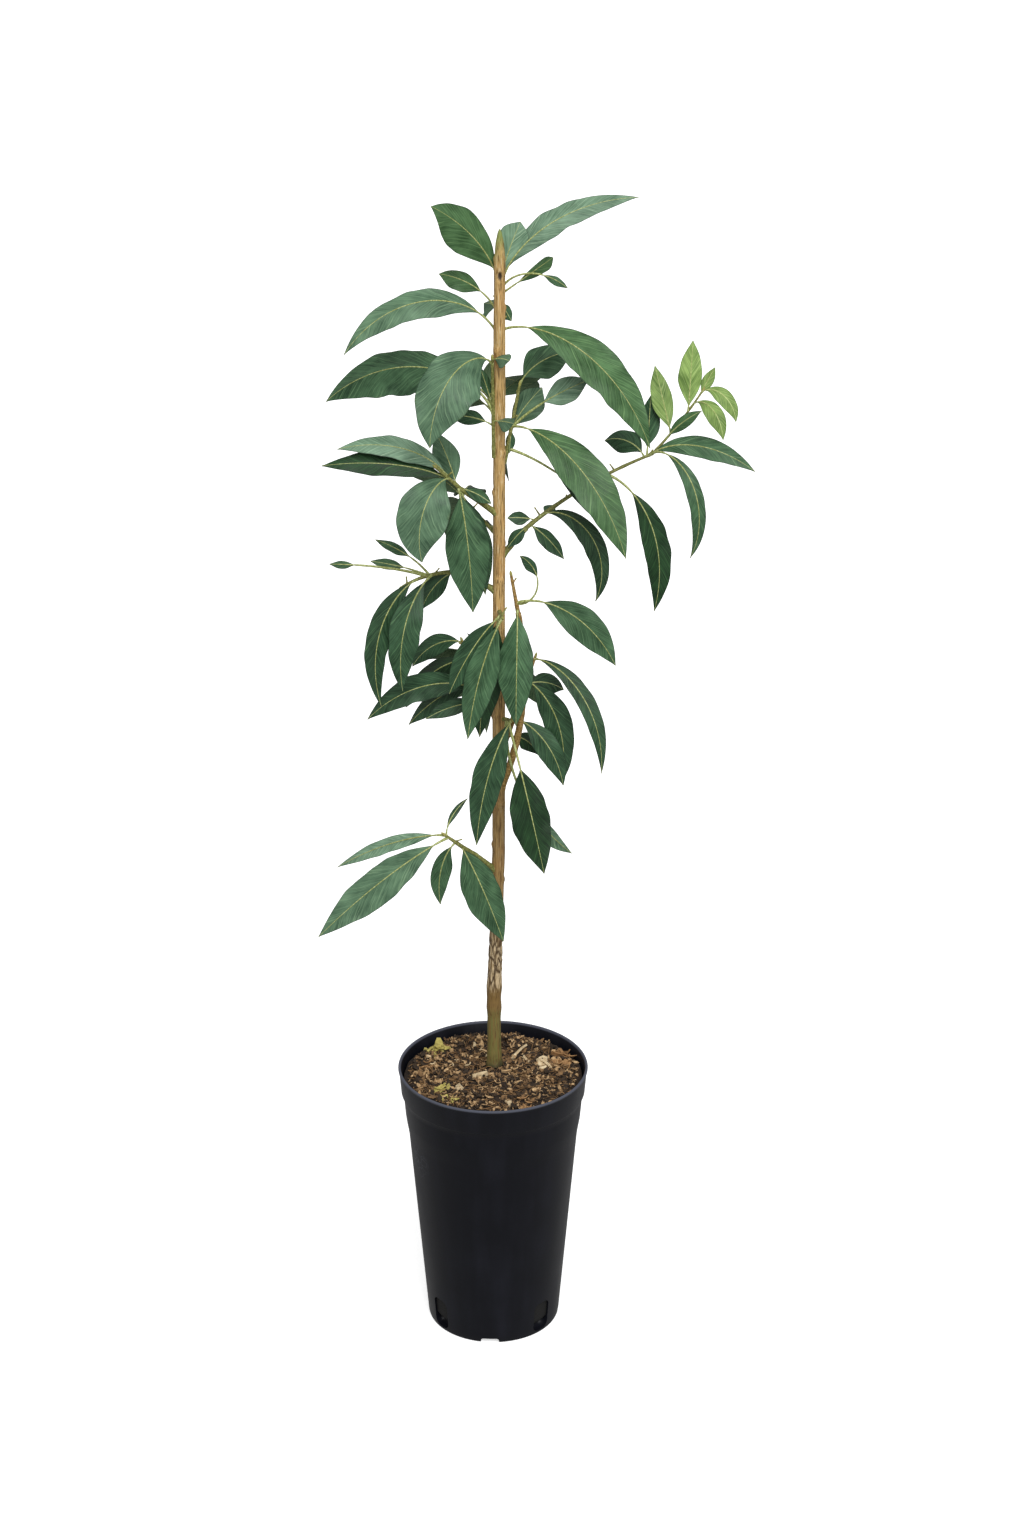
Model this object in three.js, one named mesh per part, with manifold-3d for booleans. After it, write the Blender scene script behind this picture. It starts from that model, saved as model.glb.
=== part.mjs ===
// A young avocado tree in a tall nursery pot, as separate solids: the pot, its potting mix, the trunk,
// the boughs and the masses of foliage.
// Millimetres and degrees, +Z up. The origin is the centre of the pot's underside, and -Y is the front.
// A "turn" is a compass angle round +Z: 0 is +X (right), 90 the back, 180 the left, 270 the front.
// A "rise" is the angle of a chord above the level, and a "bend" how far a path curves down over its length.
import * as THREE from "three";
import { mergeVertices } from "three/addons/utils/BufferGeometryUtils.js";
import Module from "manifold-3d";

// ---------------------------------------------------------------- driving dimensions

const GAP = 0.3; // clear space between neighbouring solids

const POT = {
  height: 255,
  rimRadius: 85,
  footRadius: 60,
  wall: 1.8,
  bandHeight: 25, // the plain band under the rim
  bandStep: 2.0, // how far the band stands out of the wall below it
  bandLean: 0.45, // how far the band's top stays inside the rim
  bandInside: 2.6, // how much wider the pot is inside its band
  shoulderTop: 207,
  shoulderBottom: 191,
  shoulderTopStep: 1.4,
  taper: 0.0838, // growth of the wall's radius for each millimetre of height
  floor: 3,
  footBevel: { inward: 1.2, upward: 1.5 },
  innerBevel: { inward: 3, upward: 6 }, // where the wall meets the floor inside
  rimSection: [ // from the lip's underside over its top, as [inside the rim, below the top]
    [0.6, 2.6],
    [0, 1.56],
    [1, 0],
    [2.4, 0.6],
  ],
  recess: 5, // height of the ring-shaped channel under the floor
  channelInner: 45,
  channelOuter: 50,
};
const ROUND = 32; // flats round the pot and its mix
const SLOTS = { spread: 48.5, swing: -3, width: 18, bottom: 3, top: 33, depth: 24, inset: 9 };
const NOTCHES = { count: 4, swing: -3, width: 17, bottom: -2, top: 4.5, depth: 16, inset: 6 };
const CUT_ROUNDING = { share: 0.7, segments: 4 }; // the upper corners of the slots and notches

const MIX = {
  level: 250.7, // the flat spot that the trunk stands on
  frontEdge: 250,
  backEdge: 243.5,
  lump: 2.2,
  lumpMiddle: 0.4,
  seed: 3,
  clear: GAP + 0.1,
  padRadius: 11,
  rings: [0.99, 0.78, 0.56, 0.34],
};

// The trunk's axis and radius at a few heights: a lean from the foot, then an almost straight leader.
const TRUNK = {
  foot: MIX.level + GAP,
  top: 1009,
  axis: [
    { z: 251, x: 1, y: 9 },
    { z: 320, x: 1, y: 8 },
    { z: 385, x: 3, y: 5 },
    { z: 465, x: 5.4, y: 3 },
    { z: 700, x: 6.1, y: 0 },
    { z: 1009, x: 7.2, y: 1 },
  ],
  radius: [
    { z: 251, r: 8.2 },
    { z: 256, r: 6.8 },
    { z: 268, r: 5.8 },
    { z: 300, r: 5.7 },
    { z: 308, r: 6.4 },
    { z: 318, r: 6.0 },
    { z: 330, r: 6.7 },
    { z: 340, r: 5.9 },
    { z: 420, r: 5.3 },
    { z: 700, r: 4.9 },
    { z: 900, r: 4.6 },
    { z: 985, r: 4.2 },
    { z: 998, r: 3.2 },
    { z: 1006, r: 1.7 },
    { z: 1009, r: 0.5 },
  ],
  step: 32,
  sides: 9,
};

// Each bough leaves the trunk at a height and ends where it enters a mass of foliage.
const BOUGHS = {
  bough_right_long: { height: 733, turn: 17, rise: 46, length: 34, bend: 0, foot: 2.6, tip: 2.2 },
  bough_left_upper: { height: 771, turn: 201, rise: 38, length: 42, bend: 0, foot: 2.4, tip: 2.0 },
  bough_left_middle: { height: 703, turn: 167, rise: 24, length: 38, bend: 10, foot: 2.4, tip: 2.0 },
  bough_left_low: { height: 443, turn: 212, rise: 43, length: 48, bend: 10, foot: 2.4, tip: 1.9 },
  bough_right_side: { height: 519, turn: 341, rise: 84, length: 168, bend: -34, foot: 3.2, tip: 2.4 },
};

const BOUGH_STEP = 20; // the longest straight stretch of a bough
const BOUGH_SIDES = 8;
const PATH_STEPS = 24;
const TWIG = { foot: 1.9, tip: 1.2, sides: 5, sunk: 1.5, steps: 4, shootSteps: 3 };
const PETIOLE = { foot: 1.15, neck: 0.85, length: 10 };
const BLADE = {
  keel: 0.85, // from the midrib's middle to the keel's top and underside
  thinFrom: 0.8, // from here on the keel is lower
  thinKeel: 0.6,
  tip: { half: 0.4, keel: 0.3 },
  stations: [0.08, 0.24, 0.44, 0.66, 0.86],
  short: 48, // a leaf under this span has the fewer slices
  fewerStations: [0.12, 0.44, 0.8],
  widest: 0.44, // where a blade is widest, unless its row says otherwise
  footTaper: 0.92, // the less, the rounder the blade's foot
  tipTaper: 1.2, // the less, the sooner it narrows to its tip
  fold: [8, 34], // how far each half hangs down from the midrib, least and most
  sway: [-6, 6], // sideways curve
  ease: 0.55, // a petiole bends more than its blade
};
const FRONT = 270;
const BACK = 90;
const LIGHT_RISE = 38; // blades turn their upper faces to a light this far above the level

// A mass of foliage is one stem with leaves. The stem starts on the trunk at a height, on the given
// side of it, or at the tip of a bough. Its leaves are listed from its foot to its tip as
// [place along the stem, turn, rise, span from stem to tip, width, droop, petiole, roll, widest].
const MASSES = {
  foliage_crown_top: {
    height: 896, side: 88, rise: 89, length: 88, bend: 0, seed: 11, lit: FRONT,
    leaves: [
      [0.08, 192, 4, 128, 27, 176, 44, 0, 0.36],
      [0.33, 336, -32, 156, 36, 106, 26],
      [0.38, 175, 40, 64, 20, 95, 33, 0, 0.5],
      [0.55, 120, -5, 26, 25, 20, 6],
      [0.7, 206, 51, 95, 36, 64, 20, 0, 0.52],
      [0.7, 11, 32, 134, 23, 90, 22, 0, 0.38],
      [0.66, 337, 37, 58, 13, 0, 20, 0, 0.72],
      [0.66, 337, 11, 60, 9, 130, 48],
      [0.8, 25, 68, 49, 25, 10, 6, 0, 0.72],
      [0.9, 96, 2, 46, 22, 50, 10],
      [0.6, 25, -58, 20, 12, 10, 3],
    ],
  },
  foliage_right_spur: {
    height: 818, side: 20, turn: 38, rise: 76, length: 62, bend: 0, seed: 23, lit: FRONT,
    leaves: [
      [0.45, 323, -38, 147, 36, 92, 18],
      [0.4, 22, 50, 43, 28, 30, 4, 0, 0.6],
      [0.42, 354, 34, 76, 23, 30, 36],
      [0.99, 20, 28, 53, 34, 80, 8],
      [0.15, 345, -34, 120, 18, 40, 46],
      [0.45, 250, -75, 22, 9, 10, 4],
    ],
  },
  foliage_left_spur: {
    height: 824, side: 212, rise: 89, length: 80, bend: 0, seed: 31, lit: FRONT,
    leaves: [
      [0.3, 157, 6, 40, 14, 40, 8],
      [0.35, 310, 8, 26, 16, 20, 6, 0, 0.6],
      [0.42, 168, 1, 141, 44, 130, 36],
      [0.5, 160, 71, 34, 10, 0, 8],
      [0.95, 228, -36, 92, 50, 150, 8],
      [0.99, 310, 10, 22, 15, 40, 4, 0, 0.6],
    ],
  },
  foliage_left_upper: {
    bough: "bough_left_upper", turn: 197, rise: 44, length: 29, bend: 0, seed: 47, lit: FRONT,
    leaves: [
      [0.06, 20, -77, 98, 24, 20, 10],
      [0.12, 310, -80, 106, 37, 20, 8],
      [0.2, 140, 62, 46, 26, 20, 4],
      [0.5, 230, -62, 72, 44, 132, 4],
      [0.5, 176, 14, 94, 20, 84, 6],
      [0.45, 176, 5, 106, 22, 42, 6],
      [0.02, 350, -24, 28, 13, 40, 4],
    ],
  },
  foliage_right_long: {
    bough: "bough_right_long", turn: 12, rise: 28, length: 121, bend: 20, seed: 53, lit: FRONT,
    shoot: { turn: 7, rise: 52, length: 66, bend: -10, foot: 1.2, tip: 0.8 },
    leaves: [
      [0.08, 190, 8, 24, 13, 30, 5],
      [0.02, 215, -35, 26, 13, 40, 3],
      [0.03, 342, -42, 40, 15, 40, 3],
      [0.1, 338, -52, 84, 20, 182, 10],
      [0.14, 57, 8, 20, 11, 10, 4],
      [0.66, 344, -70, 124, 23, 96, 26],
      [0.94, 139, 8, 43, 23, 100, 5],
      [0.96, 80, 70, 50, 20, 10, 8],
      [0.98, 343, -4, 90, 20, 86, 6],
      [0.98, 315, -59, 92, 14, 178, 20],
      [1.25, 335, 42, 42, 11, 30, 5],
      [1.35, 127, 67, 57, 18, 0, 5],
      [1.7, 76, 76, 58, 20, 5, 5],
      [1.8, 312, -32, 42, 16, 150, 6],
      [1.94, 40, 51, 27, 12, 0, 4],
      [1.98, 331, -32, 38, 14, 150, 5],
    ],
  },
  foliage_left_middle: {
    bough: "bough_left_middle", turn: 185, rise: -14, length: 48, bend: 35, seed: 61, lit: FRONT,
    leaves: [
      [0.06, 180, -50, 44, 20, 60, 4],
      [0.45, 226, -69, 101, 27, 90, 10],
      [0.5, 152, 24, 57, 11, 45, 24],
      [0.52, 172, 12, 50, 10, 20, 22],
      [0.55, 176, 6, 82, 8, 20, 62],
      [0.72, 208, -72, 114, 25, 98, 6, 0, 0.36],
    ],
  },
  foliage_front: {
    height: 688, side: 275, turn: 277, rise: 6, length: 22, bend: 0, seed: 71, lit: FRONT,
    leaves: [
      [0.35, 201, -80, 110, 34, 20, 10],
      [0.55, 201, -54, 79, 28, 34, 8],
      [0.97, 213, -71, 107, 31, 30, 8],
    ],
  },
  foliage_right_side: {
    bough: "bough_right_side", turn: 190, rise: 80, length: 34, bend: 0, seed: 83, lit: FRONT,
    leaves: [
      [0.1, 268, -70, 98, 32, 60, 6],
      [0.25, 343, -28, 98, 32, 102, 25],
      [0.25, 0, 86, 42, 11, -190, 36],
    ],
  },
  foliage_right_low: {
    height: 557, side: 50, turn: 16, rise: 71, length: 88, bend: 0, seed: 97, lit: FRONT,
    leaves: [
      [0.15, 18, -36, 34, 17, 90, 8],
      [0.35, 342, -52, 72, 22, 80, 8],
      [0.7, 20, -14, 36, 20, 70, 5],
      [0.75, 354, -72, 98, 26, 76, 6, 0, 0.34],
      [0.98, 329, -54, 113, 16, 112, 4],
    ],
  },
  foliage_low_front: {
    height: 590, side: 315, turn: 300, rise: 15, length: 15, bend: 0, seed: 101, lit: FRONT,
    leaves: [
      [0.4, 40, -63, 165, 16, -60, 100],
      [0.5, 311, -69.5, 136, 36, 6, 44],
      [0.95, 219, -70, 112, 29, 42, 4],
    ],
  },
  foliage_left_low: {
    bough: "bough_left_low", turn: 201, rise: 41, length: 22, bend: 0, seed: 113, lit: FRONT,
    leaves: [
      [0.1, 342, -66, 94, 36, 12, 4],
      [0.4, 178, -77, 61, 18, 60, 6],
      [0.8, 192, -36, 142, 35, 20, 15],
      [0.97, 162, -24, 110, 16, 34, 10],
      [0.9, 36, 53, 37, 6, 80, 8],
    ],
  },
  foliage_left_back: {
    height: 590, side: 150, turn: 157, rise: 66, length: 70, bend: 0, seed: 127, lit: FRONT,
    leaves: [
      [0.15, 189, -10, 55, 15, 60, 10],
      [0.28, 184, -11, 102, 26, 100, 12],
      [0.45, 169, -35, 76, 20, 50, 8],
      [0.75, 158, -41, 80, 28, 70, 8],
      [0.98, 165, -30, 52, 20, 90, 4],
    ],
  },
  foliage_back_high: {
    height: 838, side: BACK, turn: 104, rise: 30, length: 56, bend: 0, seed: 5, lit: BACK,
    leaves: [
      [0.45, 147, 14, 62, 30, 60, 10],
      [0.6, 33, 23, 71, 28, 50, 10],
      [0.8, 162, 8, 91, 32, 60, 12],
      [0.9, 103, -1, 63, 30, 60, 8],
      [0.98, 59, -20, 89, 32, 70, 12],
      [0.3, 78, -52, 88, 30, 40, 12, 70],
      [0.7, 84, 30, 66, 26, 70, 10, -70],
      [0.98, 110, -14, 92, 32, 60, 12, 60],
    ],
  },
  foliage_back_middle: {
    height: 752, side: 110, turn: 128, rise: 22, length: 52, bend: 0, seed: 9, lit: BACK,
    leaves: [
      [0.35, 140, -12, 63, 28, 60, 10],
      [0.55, 98, -53, 90, 30, 50, 10],
      [0.75, 149, 19, 102, 32, 60, 14],
      [0.9, 111, -7, 87, 32, 60, 10],
      [0.98, 82, -14, 84, 30, 60, 12],
      [0.2, 80, -34, 84, 28, 50, 12, 70],
      [0.98, 100, -46, 92, 32, 60, 12, 70],
    ],
  },
  foliage_back_low: {
    height: 612, side: 100, turn: 112, rise: 24, length: 50, bend: 0, seed: 14, lit: BACK,
    leaves: [
      [0.4, 135, -35, 65, 28, 50, 10],
      [0.6, 57, -34, 71, 28, 60, 10],
      [0.8, 156, -6, 76, 28, 60, 10],
      [0.9, 98, -42, 84, 30, 60, 10],
      [0.98, 32, -44, 102, 26, 60, 14],
      [0.3, 84, 24, 72, 28, 60, 10, 65],
      [0.7, 88, -62, 94, 30, 30, 12, -70],
      [0.98, 90, -26, 90, 30, 60, 12, 70],
    ],
  },
};
// Short side twigs, one for each stretch of stem, set round it by the golden angle.
const SIDE_TWIG = { every: 24, golden: 137.5, length: [4, 8], rise: [25, 60], foot: 1, tip: 0.5, sides: 4 };

const FINISHES = {
  pot: { color: "#212226", roughness: 0.45, metalness: 0 },
  mix: { color: "#6b4a2e", roughness: 0.95, metalness: 0 },
  trunk: { color: "#a9854c", roughness: 0.8, metalness: 0 },
  bough: { color: "#8c8a45", roughness: 0.75, metalness: 0 },
  leaf: { color: "#3f6b4a", roughness: 0.5, metalness: 0 },
};
const MERGE = 1e-4; // points closer than this are one

// ---------------------------------------------------------------- solids

const wasm = await Module();
wasm.setup();

// A three.js geometry as a manifold-3d solid, its shared vertices merged by position.
function solidOf(geometry) {
  const bare = geometry.clone();
  bare.deleteAttribute("normal");
  bare.deleteAttribute("uv");
  const merged = mergeVertices(bare, MERGE);
  const mesh = new wasm.Mesh({
    numProp: 3,
    vertProperties: new Float32Array(merged.attributes.position.array),
    triVerts: new Uint32Array(merged.index.array),
  });
  return new wasm.Manifold(mesh);
}

function geometryOf(solid) {
  const mesh = solid.getMesh();
  const geometry = new THREE.BufferGeometry();
  geometry.setAttribute("position", new THREE.BufferAttribute(mesh.vertProperties, 3));
  geometry.setIndex(new THREE.BufferAttribute(mesh.triVerts, 1));
  const flat = geometry.toNonIndexed();
  flat.computeVertexNormals();
  return flat;
}

// The largest body of a solid, so that a scrap left by a cut is dropped.
function largestBody(solid) {
  return solid.decompose().sort((a, b) => b.volume() - a.volume())[0];
}

// A closed skin over rings of points. Each ring runs anticlockwise as seen from beyond the last ring.
// Neighbouring strips are creased in mirrored directions, so that both skins of a thin leaf, which has
// four-cornered rings, crease along the same lines and can't pass through each other where it curves.
function loft(rings) {
  const sides = rings[0].length;
  const positions = rings.flat().flatMap((p) => [p.x, p.y, p.z]);
  const faces = [];
  for (let i = 0; i + 1 < rings.length; i++) {
    for (let j = 0; j < sides; j++) {
      const a = i * sides + j;
      const b = i * sides + ((j + 1) % sides);
      if (j % 2 === 0) faces.push(a, b, b + sides, a, b + sides, a + sides);
      else faces.push(a, b, a + sides, b, b + sides, a + sides);
    }
  }
  for (const end of [0, rings.length - 1]) {
    const centre = positions.length / 3;
    const middle = rings[end].reduce((sum, p) => sum.add(p), new THREE.Vector3()).divideScalar(sides);
    positions.push(middle.x, middle.y, middle.z);
    for (let j = 0; j < sides; j++) {
      const a = end * sides + j;
      const b = end * sides + ((j + 1) % sides);
      faces.push(centre, ...(end === 0 ? [b, a] : [a, b]));
    }
  }
  const geometry = new THREE.BufferGeometry();
  geometry.setAttribute("position", new THREE.Float32BufferAttribute(positions, 3));
  geometry.setIndex(faces);
  return solidOf(geometry);
}

// ---------------------------------------------------------------- growth rules

const radians = THREE.MathUtils.degToRad;

// A repeatable stream of numbers from 0 to 1.
function seeded(seed) {
  let state = (seed * 7919) % 2147483647;
  return () => {
    state = (state * 48271) % 2147483647;
    return state / 2147483647;
  };
}

const between = ([least, most], share) => least + (most - least) * share;

function heading(turn, rise) {
  const level = Math.cos(radians(rise));
  return new THREE.Vector3(
    level * Math.cos(radians(turn)),
    level * Math.sin(radians(turn)),
    Math.sin(radians(rise)),
  );
}

// A path whose chord has the given turn, rise and length, and which curves down by "bend" and sideways
// by "sweep" on its way, the more at its foot the smaller "ease" is. at(s) gives the place and the
// heading at a share s of its length.
class GrowthPath {
  constructor({ from, turn, rise, length, bend = 0, sweep = 0, ease = 1 }) {
    const raw = [new THREE.Vector3()];
    for (let i = 0; i < PATH_STEPS; i++) {
      const s = (i + 0.5) / PATH_STEPS;
      const step = heading(turn + sweep * (s - 0.5), rise + bend * (0.5 - s ** ease));
      raw.push(raw[i].clone().addScaledVector(step, 1 / PATH_STEPS));
    }
    const end = raw[PATH_STEPS];
    const swing = new THREE.Quaternion().setFromUnitVectors(
      end.clone().normalize(),
      heading(turn, rise),
    );
    const scale = length / end.length();
    this.points = raw.map((p) => p.applyQuaternion(swing).multiplyScalar(scale).add(from));
    this.length = scale;
  }

  at(s) {
    const last = this.points.length - 1;
    const place = THREE.MathUtils.clamp(s, 0, 1) * last;
    const i = Math.min(Math.floor(place), last - 1);
    const point = this.points[i].clone().lerp(this.points[i + 1], place - i);
    const direction = this.points[i + 1].clone().sub(this.points[i]).normalize();
    return { point, direction };
  }
}

// The value of a named quantity at a height, from a list of {z, name} rows, on straight lines between.
function alongHeight(rows, z, name) {
  const i = Math.max(1, rows.findIndex((row) => row.z >= z));
  const above = z > rows[rows.length - 1].z ? rows[rows.length - 1] : rows[i];
  const below = rows[i - 1];
  const share = THREE.MathUtils.clamp((z - below.z) / (above.z - below.z), 0, 1);
  return below[name] + (above[name] - below[name]) * share;
}

const trunkAxis = (z) =>
  new THREE.Vector3(alongHeight(TRUNK.axis, z, "x"), alongHeight(TRUNK.axis, z, "y"), z);
const trunkRadius = (z) => alongHeight(TRUNK.radius, z, "r");

// A ring of points round a place, square to a direction.
function ringAround(point, direction, radius, sides) {
  const across = new THREE.Vector3(-direction.y, direction.x, 0);
  if (across.lengthSq() < 1e-6) across.set(0, 1, 0);
  across.normalize();
  const over = direction.clone().cross(across);
  return Array.from({ length: sides }, (_, j) => {
    const angle = (2 * Math.PI * j) / sides;
    return point
      .clone()
      .addScaledVector(across, radius * Math.cos(angle))
      .addScaledVector(over, radius * Math.sin(angle));
  });
}

function taperedLimb(path, foot, tip, sides, steps) {
  const rings = [];
  for (let i = 0; i <= steps; i++) {
    const { point, direction } = path.at(i / steps);
    rings.push(ringAround(point, direction, foot + ((tip - foot) * i) / steps, sides));
  }
  return loft(rings);
}

// Half the blade's width as a share of its greatest: a tapering foot and a drawn-out tip.
function bladeShape(s, widest) {
  return s < widest
    ? Math.sin((Math.PI / 2) * (s / widest)) ** BLADE.footTaper
    : Math.cos((Math.PI / 2) * ((s - widest) / (1 - widest)) ** BLADE.tipTaper);
}

// One leaf: a petiole that widens into a folded, drooping blade with a keel, as one closed skin.
function leaf(from, row, lit, random) {
  const [, turn, rise, span, width, droop, petiole = PETIOLE.length, roll = 0, widest = BLADE.widest] = row;
  const fold = radians(between(BLADE.fold, random()));
  const sweep = between(BLADE.sway, random());
  const bends = { bend: droop, sweep, ease: BLADE.ease };
  const path = new GrowthPath({ from, turn, rise, length: span, ...bends });
  const neck = petiole / path.length;
  const light = heading(lit, LIGHT_RISE);
  const rings = [0, 1].map((share) => {
    const { point, direction } = path.at(share * neck);
    const radius = PETIOLE.foot + (PETIOLE.neck - PETIOLE.foot) * share;
    return section(point, direction, light, roll, radius, 0, radius);
  });
  for (const s of span < BLADE.short ? BLADE.fewerStations : BLADE.stations) {
    const { point, direction } = path.at(neck + (1 - neck) * s);
    const half = (bladeShape(s, widest) * width) / 2;
    const keel = s > BLADE.thinFrom ? BLADE.thinKeel : BLADE.keel;
    rings.push(section(point, direction, light, roll, half, fold, keel));
  }
  const end = path.at(1);
  rings.push(section(end.point, end.direction, light, roll, BLADE.tip.half, 0, BLADE.tip.keel));
  return loft(rings);
}

// A four-cornered slice of a leaf: the two edges, folded down, and the keel above and below the midrib.
function section(point, direction, light, roll, half, fold, keel) {
  const face = light.clone().addScaledVector(direction, -light.dot(direction)).normalize();
  face.applyAxisAngle(direction, radians(roll));
  const across = face.clone().cross(direction);
  const out = half * Math.cos(fold);
  const down = -half * Math.sin(fold);
  return [
    point.clone().addScaledVector(across, out).addScaledVector(face, down),
    point.clone().addScaledVector(face, keel),
    point.clone().addScaledVector(across, -out).addScaledVector(face, down),
    point.clone().addScaledVector(face, -keel),
  ];
}

// Short bud-bearing twigs along a stem, at seeded places, lengths and rises.
function sideTwigs(stem, turn, random) {
  const count = Math.max(1, Math.round(stem.length / SIDE_TWIG.every));
  return Array.from({ length: count }, (_, i) => {
    const path = new GrowthPath({
      from: stem.at((i + 0.4 + 0.5 * random()) / count).point,
      turn: turn + SIDE_TWIG.golden * (i + 1),
      rise: between(SIDE_TWIG.rise, random()),
      length: between(SIDE_TWIG.length, random()),
    });
    return taperedLimb(path, SIDE_TWIG.foot, SIDE_TWIG.tip, SIDE_TWIG.sides, 1);
  });
}

// ---------------------------------------------------------------- the pieces

const wallAt = (z) => POT.footRadius + POT.taper * z;

// The inside of the pot's wall, from the floor to the band, as [radius, height] pairs.
function potInside() {
  const bottom = POT.recess + POT.floor;
  const inner = (z) => wallAt(z) - POT.wall;
  const bandBottom = POT.height - POT.bandHeight;
  const { inward, upward } = POT.innerBevel;
  return [
    [inner(bottom) - inward, bottom],
    [inner(bottom + upward), bottom + upward],
    [inner(POT.shoulderBottom), POT.shoulderBottom],
    [inner(bandBottom) + POT.bandInside, bandBottom + POT.bandStep],
  ];
}

// The pot's wall as a closed profile, from the foot up the outside and down the inside.
function potGeometry() {
  const { height, rimRadius, footRadius, bandStep, footBevel, floor, recess } = POT;
  const bandBottom = height - POT.bandHeight;
  const bandRadius = rimRadius - POT.bandLean - POT.bandHeight * POT.taper;
  const profile = [
    [0, 0],
    [POT.channelInner, 0],
    [POT.channelInner, recess],
    [POT.channelOuter, recess],
    [POT.channelOuter, 0],
    [footRadius - footBevel.inward, 0],
    [footRadius, footBevel.upward],
    [wallAt(POT.shoulderBottom), POT.shoulderBottom],
    [wallAt(POT.shoulderTop) + POT.shoulderTopStep, POT.shoulderTop],
    [bandRadius - bandStep, bandBottom - bandStep / 2],
    [bandRadius, bandBottom + bandStep / 2],
    ...POT.rimSection.map(([inside, below]) => [rimRadius - inside, height - below]),
    ...potInside().reverse(),
    [0, recess + floor],
  ];
  const outline = profile.map(([r, z]) => new THREE.Vector2(r, z));
  return new THREE.LatheGeometry(outline, ROUND).rotateX(Math.PI / 2);
}

// A cutter with a rounded top, in the pot's wall at a turn.
function wallCutter({ width, bottom, top, depth, inset }, turn) {
  const corner = Math.min(width / 2, top - bottom) * CUT_ROUNDING.share;
  const outline = new THREE.Shape();
  outline.moveTo(-width / 2, bottom);
  outline.lineTo(width / 2, bottom);
  outline.lineTo(width / 2, top - corner);
  outline.absarc(width / 2 - corner, top - corner, corner, 0, Math.PI / 2);
  outline.absarc(corner - width / 2, top - corner, corner, Math.PI / 2, Math.PI);
  const geometry = new THREE.ExtrudeGeometry(outline, {
    depth,
    bevelEnabled: false,
    curveSegments: CUT_ROUNDING.segments,
  });
  geometry.rotateX(Math.PI / 2);
  geometry.rotateZ(Math.PI / 2);
  geometry.translate(POT.footRadius - inset, 0, 0);
  geometry.rotateZ(radians(turn));
  return solidOf(geometry);
}

function pot() {
  let body = solidOf(potGeometry());
  for (const side of [FRONT, BACK]) {
    for (const hand of [-1, 1]) {
      body = body.subtract(wallCutter(SLOTS, side + hand * SLOTS.spread + SLOTS.swing));
    }
  }
  for (let i = 0; i < NOTCHES.count; i++) {
    body = body.subtract(wallCutter(NOTCHES, FRONT + (360 / NOTCHES.count) * i + NOTCHES.swing));
  }
  return body;
}

// The potting mix fills the pot, with a lumpy top that is higher at the front than at the back.
function pottingMix() {
  const random = seeded(MIX.seed);
  const { clear } = MIX;
  const ring = (radius, height, x = 0, y = 0) =>
    Array.from({ length: ROUND }, (_, j) => {
      const angle = (2 * Math.PI * j) / ROUND;
      return new THREE.Vector3(x + radius * Math.cos(angle), y + radius * Math.sin(angle), height(angle));
    });
  const layers = potInside().map(([radius, z], i) => ring(radius - clear, () => z + (i === 0 ? clear : 0)));
  const [bandRadius] = potInside().pop();
  const edge = (angle) =>
    (MIX.frontEdge + MIX.backEdge) / 2 - ((MIX.frontEdge - MIX.backEdge) / 2) * Math.sin(angle);
  for (const share of MIX.rings) {
    const lump = () => MIX.lump * (random() - MIX.lumpMiddle);
    const height = (angle) => edge(angle) * share + MIX.level * (1 - share) + lump();
    layers.push(ring(bandRadius * share, height));
  }
  const pad = trunkAxis(TRUNK.foot);
  layers.push(ring(MIX.padRadius, () => MIX.level, pad.x, pad.y));
  return loft(layers);
}

// A trunk with its flare, graft collar and taper; "grow" swells it to cut its neighbours clear of it.
function trunkSolid(grow = 0) {
  const heights = new Set(TRUNK.radius.map((row) => row.z));
  for (let z = TRUNK.foot + TRUNK.step; z < TRUNK.top - TRUNK.step; z += TRUNK.step) heights.add(z);
  const up = new THREE.Vector3(0, 0, 1);
  const rings = [...heights]
    .sort((a, b) => a - b)
    .map((z) => ringAround(trunkAxis(z), up, trunkRadius(z) + grow, TRUNK.sides));
  return loft(rings);
}

function boughPath({ height, turn, rise, length, bend }) {
  return new GrowthPath({ from: trunkAxis(height), turn, rise, length, bend });
}

function boughSolid(path, { foot, tip, length }, grow = 0) {
  const steps = Math.ceil(length / BOUGH_STEP);
  return taperedLimb(path, foot + grow, tip + grow, BOUGH_SIDES, steps);
}

function stemStart(mass, boughPaths) {
  if (mass.bough) {
    const { point, direction } = boughPaths[mass.bough].at(1);
    return point.addScaledVector(direction, GAP);
  }
  const reach = trunkRadius(mass.height) + TWIG.foot - TWIG.sunk;
  return trunkAxis(mass.height).addScaledVector(heading(mass.side, 0), reach);
}

// One mass of foliage: its stem, a young shoot on the stem's end where it has one, and its leaves.
function foliage(mass, from) {
  const random = seeded(mass.seed);
  const turn = mass.turn ?? mass.side;
  const stem = new GrowthPath({ from, turn, rise: mass.rise, length: mass.length, bend: mass.bend });
  const limb = taperedLimb(stem, TWIG.foot, TWIG.tip, TWIG.sides, TWIG.steps);
  const pieces = [limb, ...sideTwigs(stem, turn, random)];
  let shoot = null;
  if (mass.shoot) {
    shoot = new GrowthPath({ from: stem.at(1).point, ...mass.shoot });
    const { foot, tip } = mass.shoot;
    pieces.push(taperedLimb(shoot, foot, tip, TWIG.sides, TWIG.shootSteps));
  }
  for (const row of mass.leaves) {
    const place = row[0] > 1 ? shoot.at(row[0] - 1) : stem.at(row[0]);
    pieces.push(leaf(place.point, row, mass.lit, random));
  }
  return wasm.Manifold.union(pieces);
}

// ---------------------------------------------------------------- assembly

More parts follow.
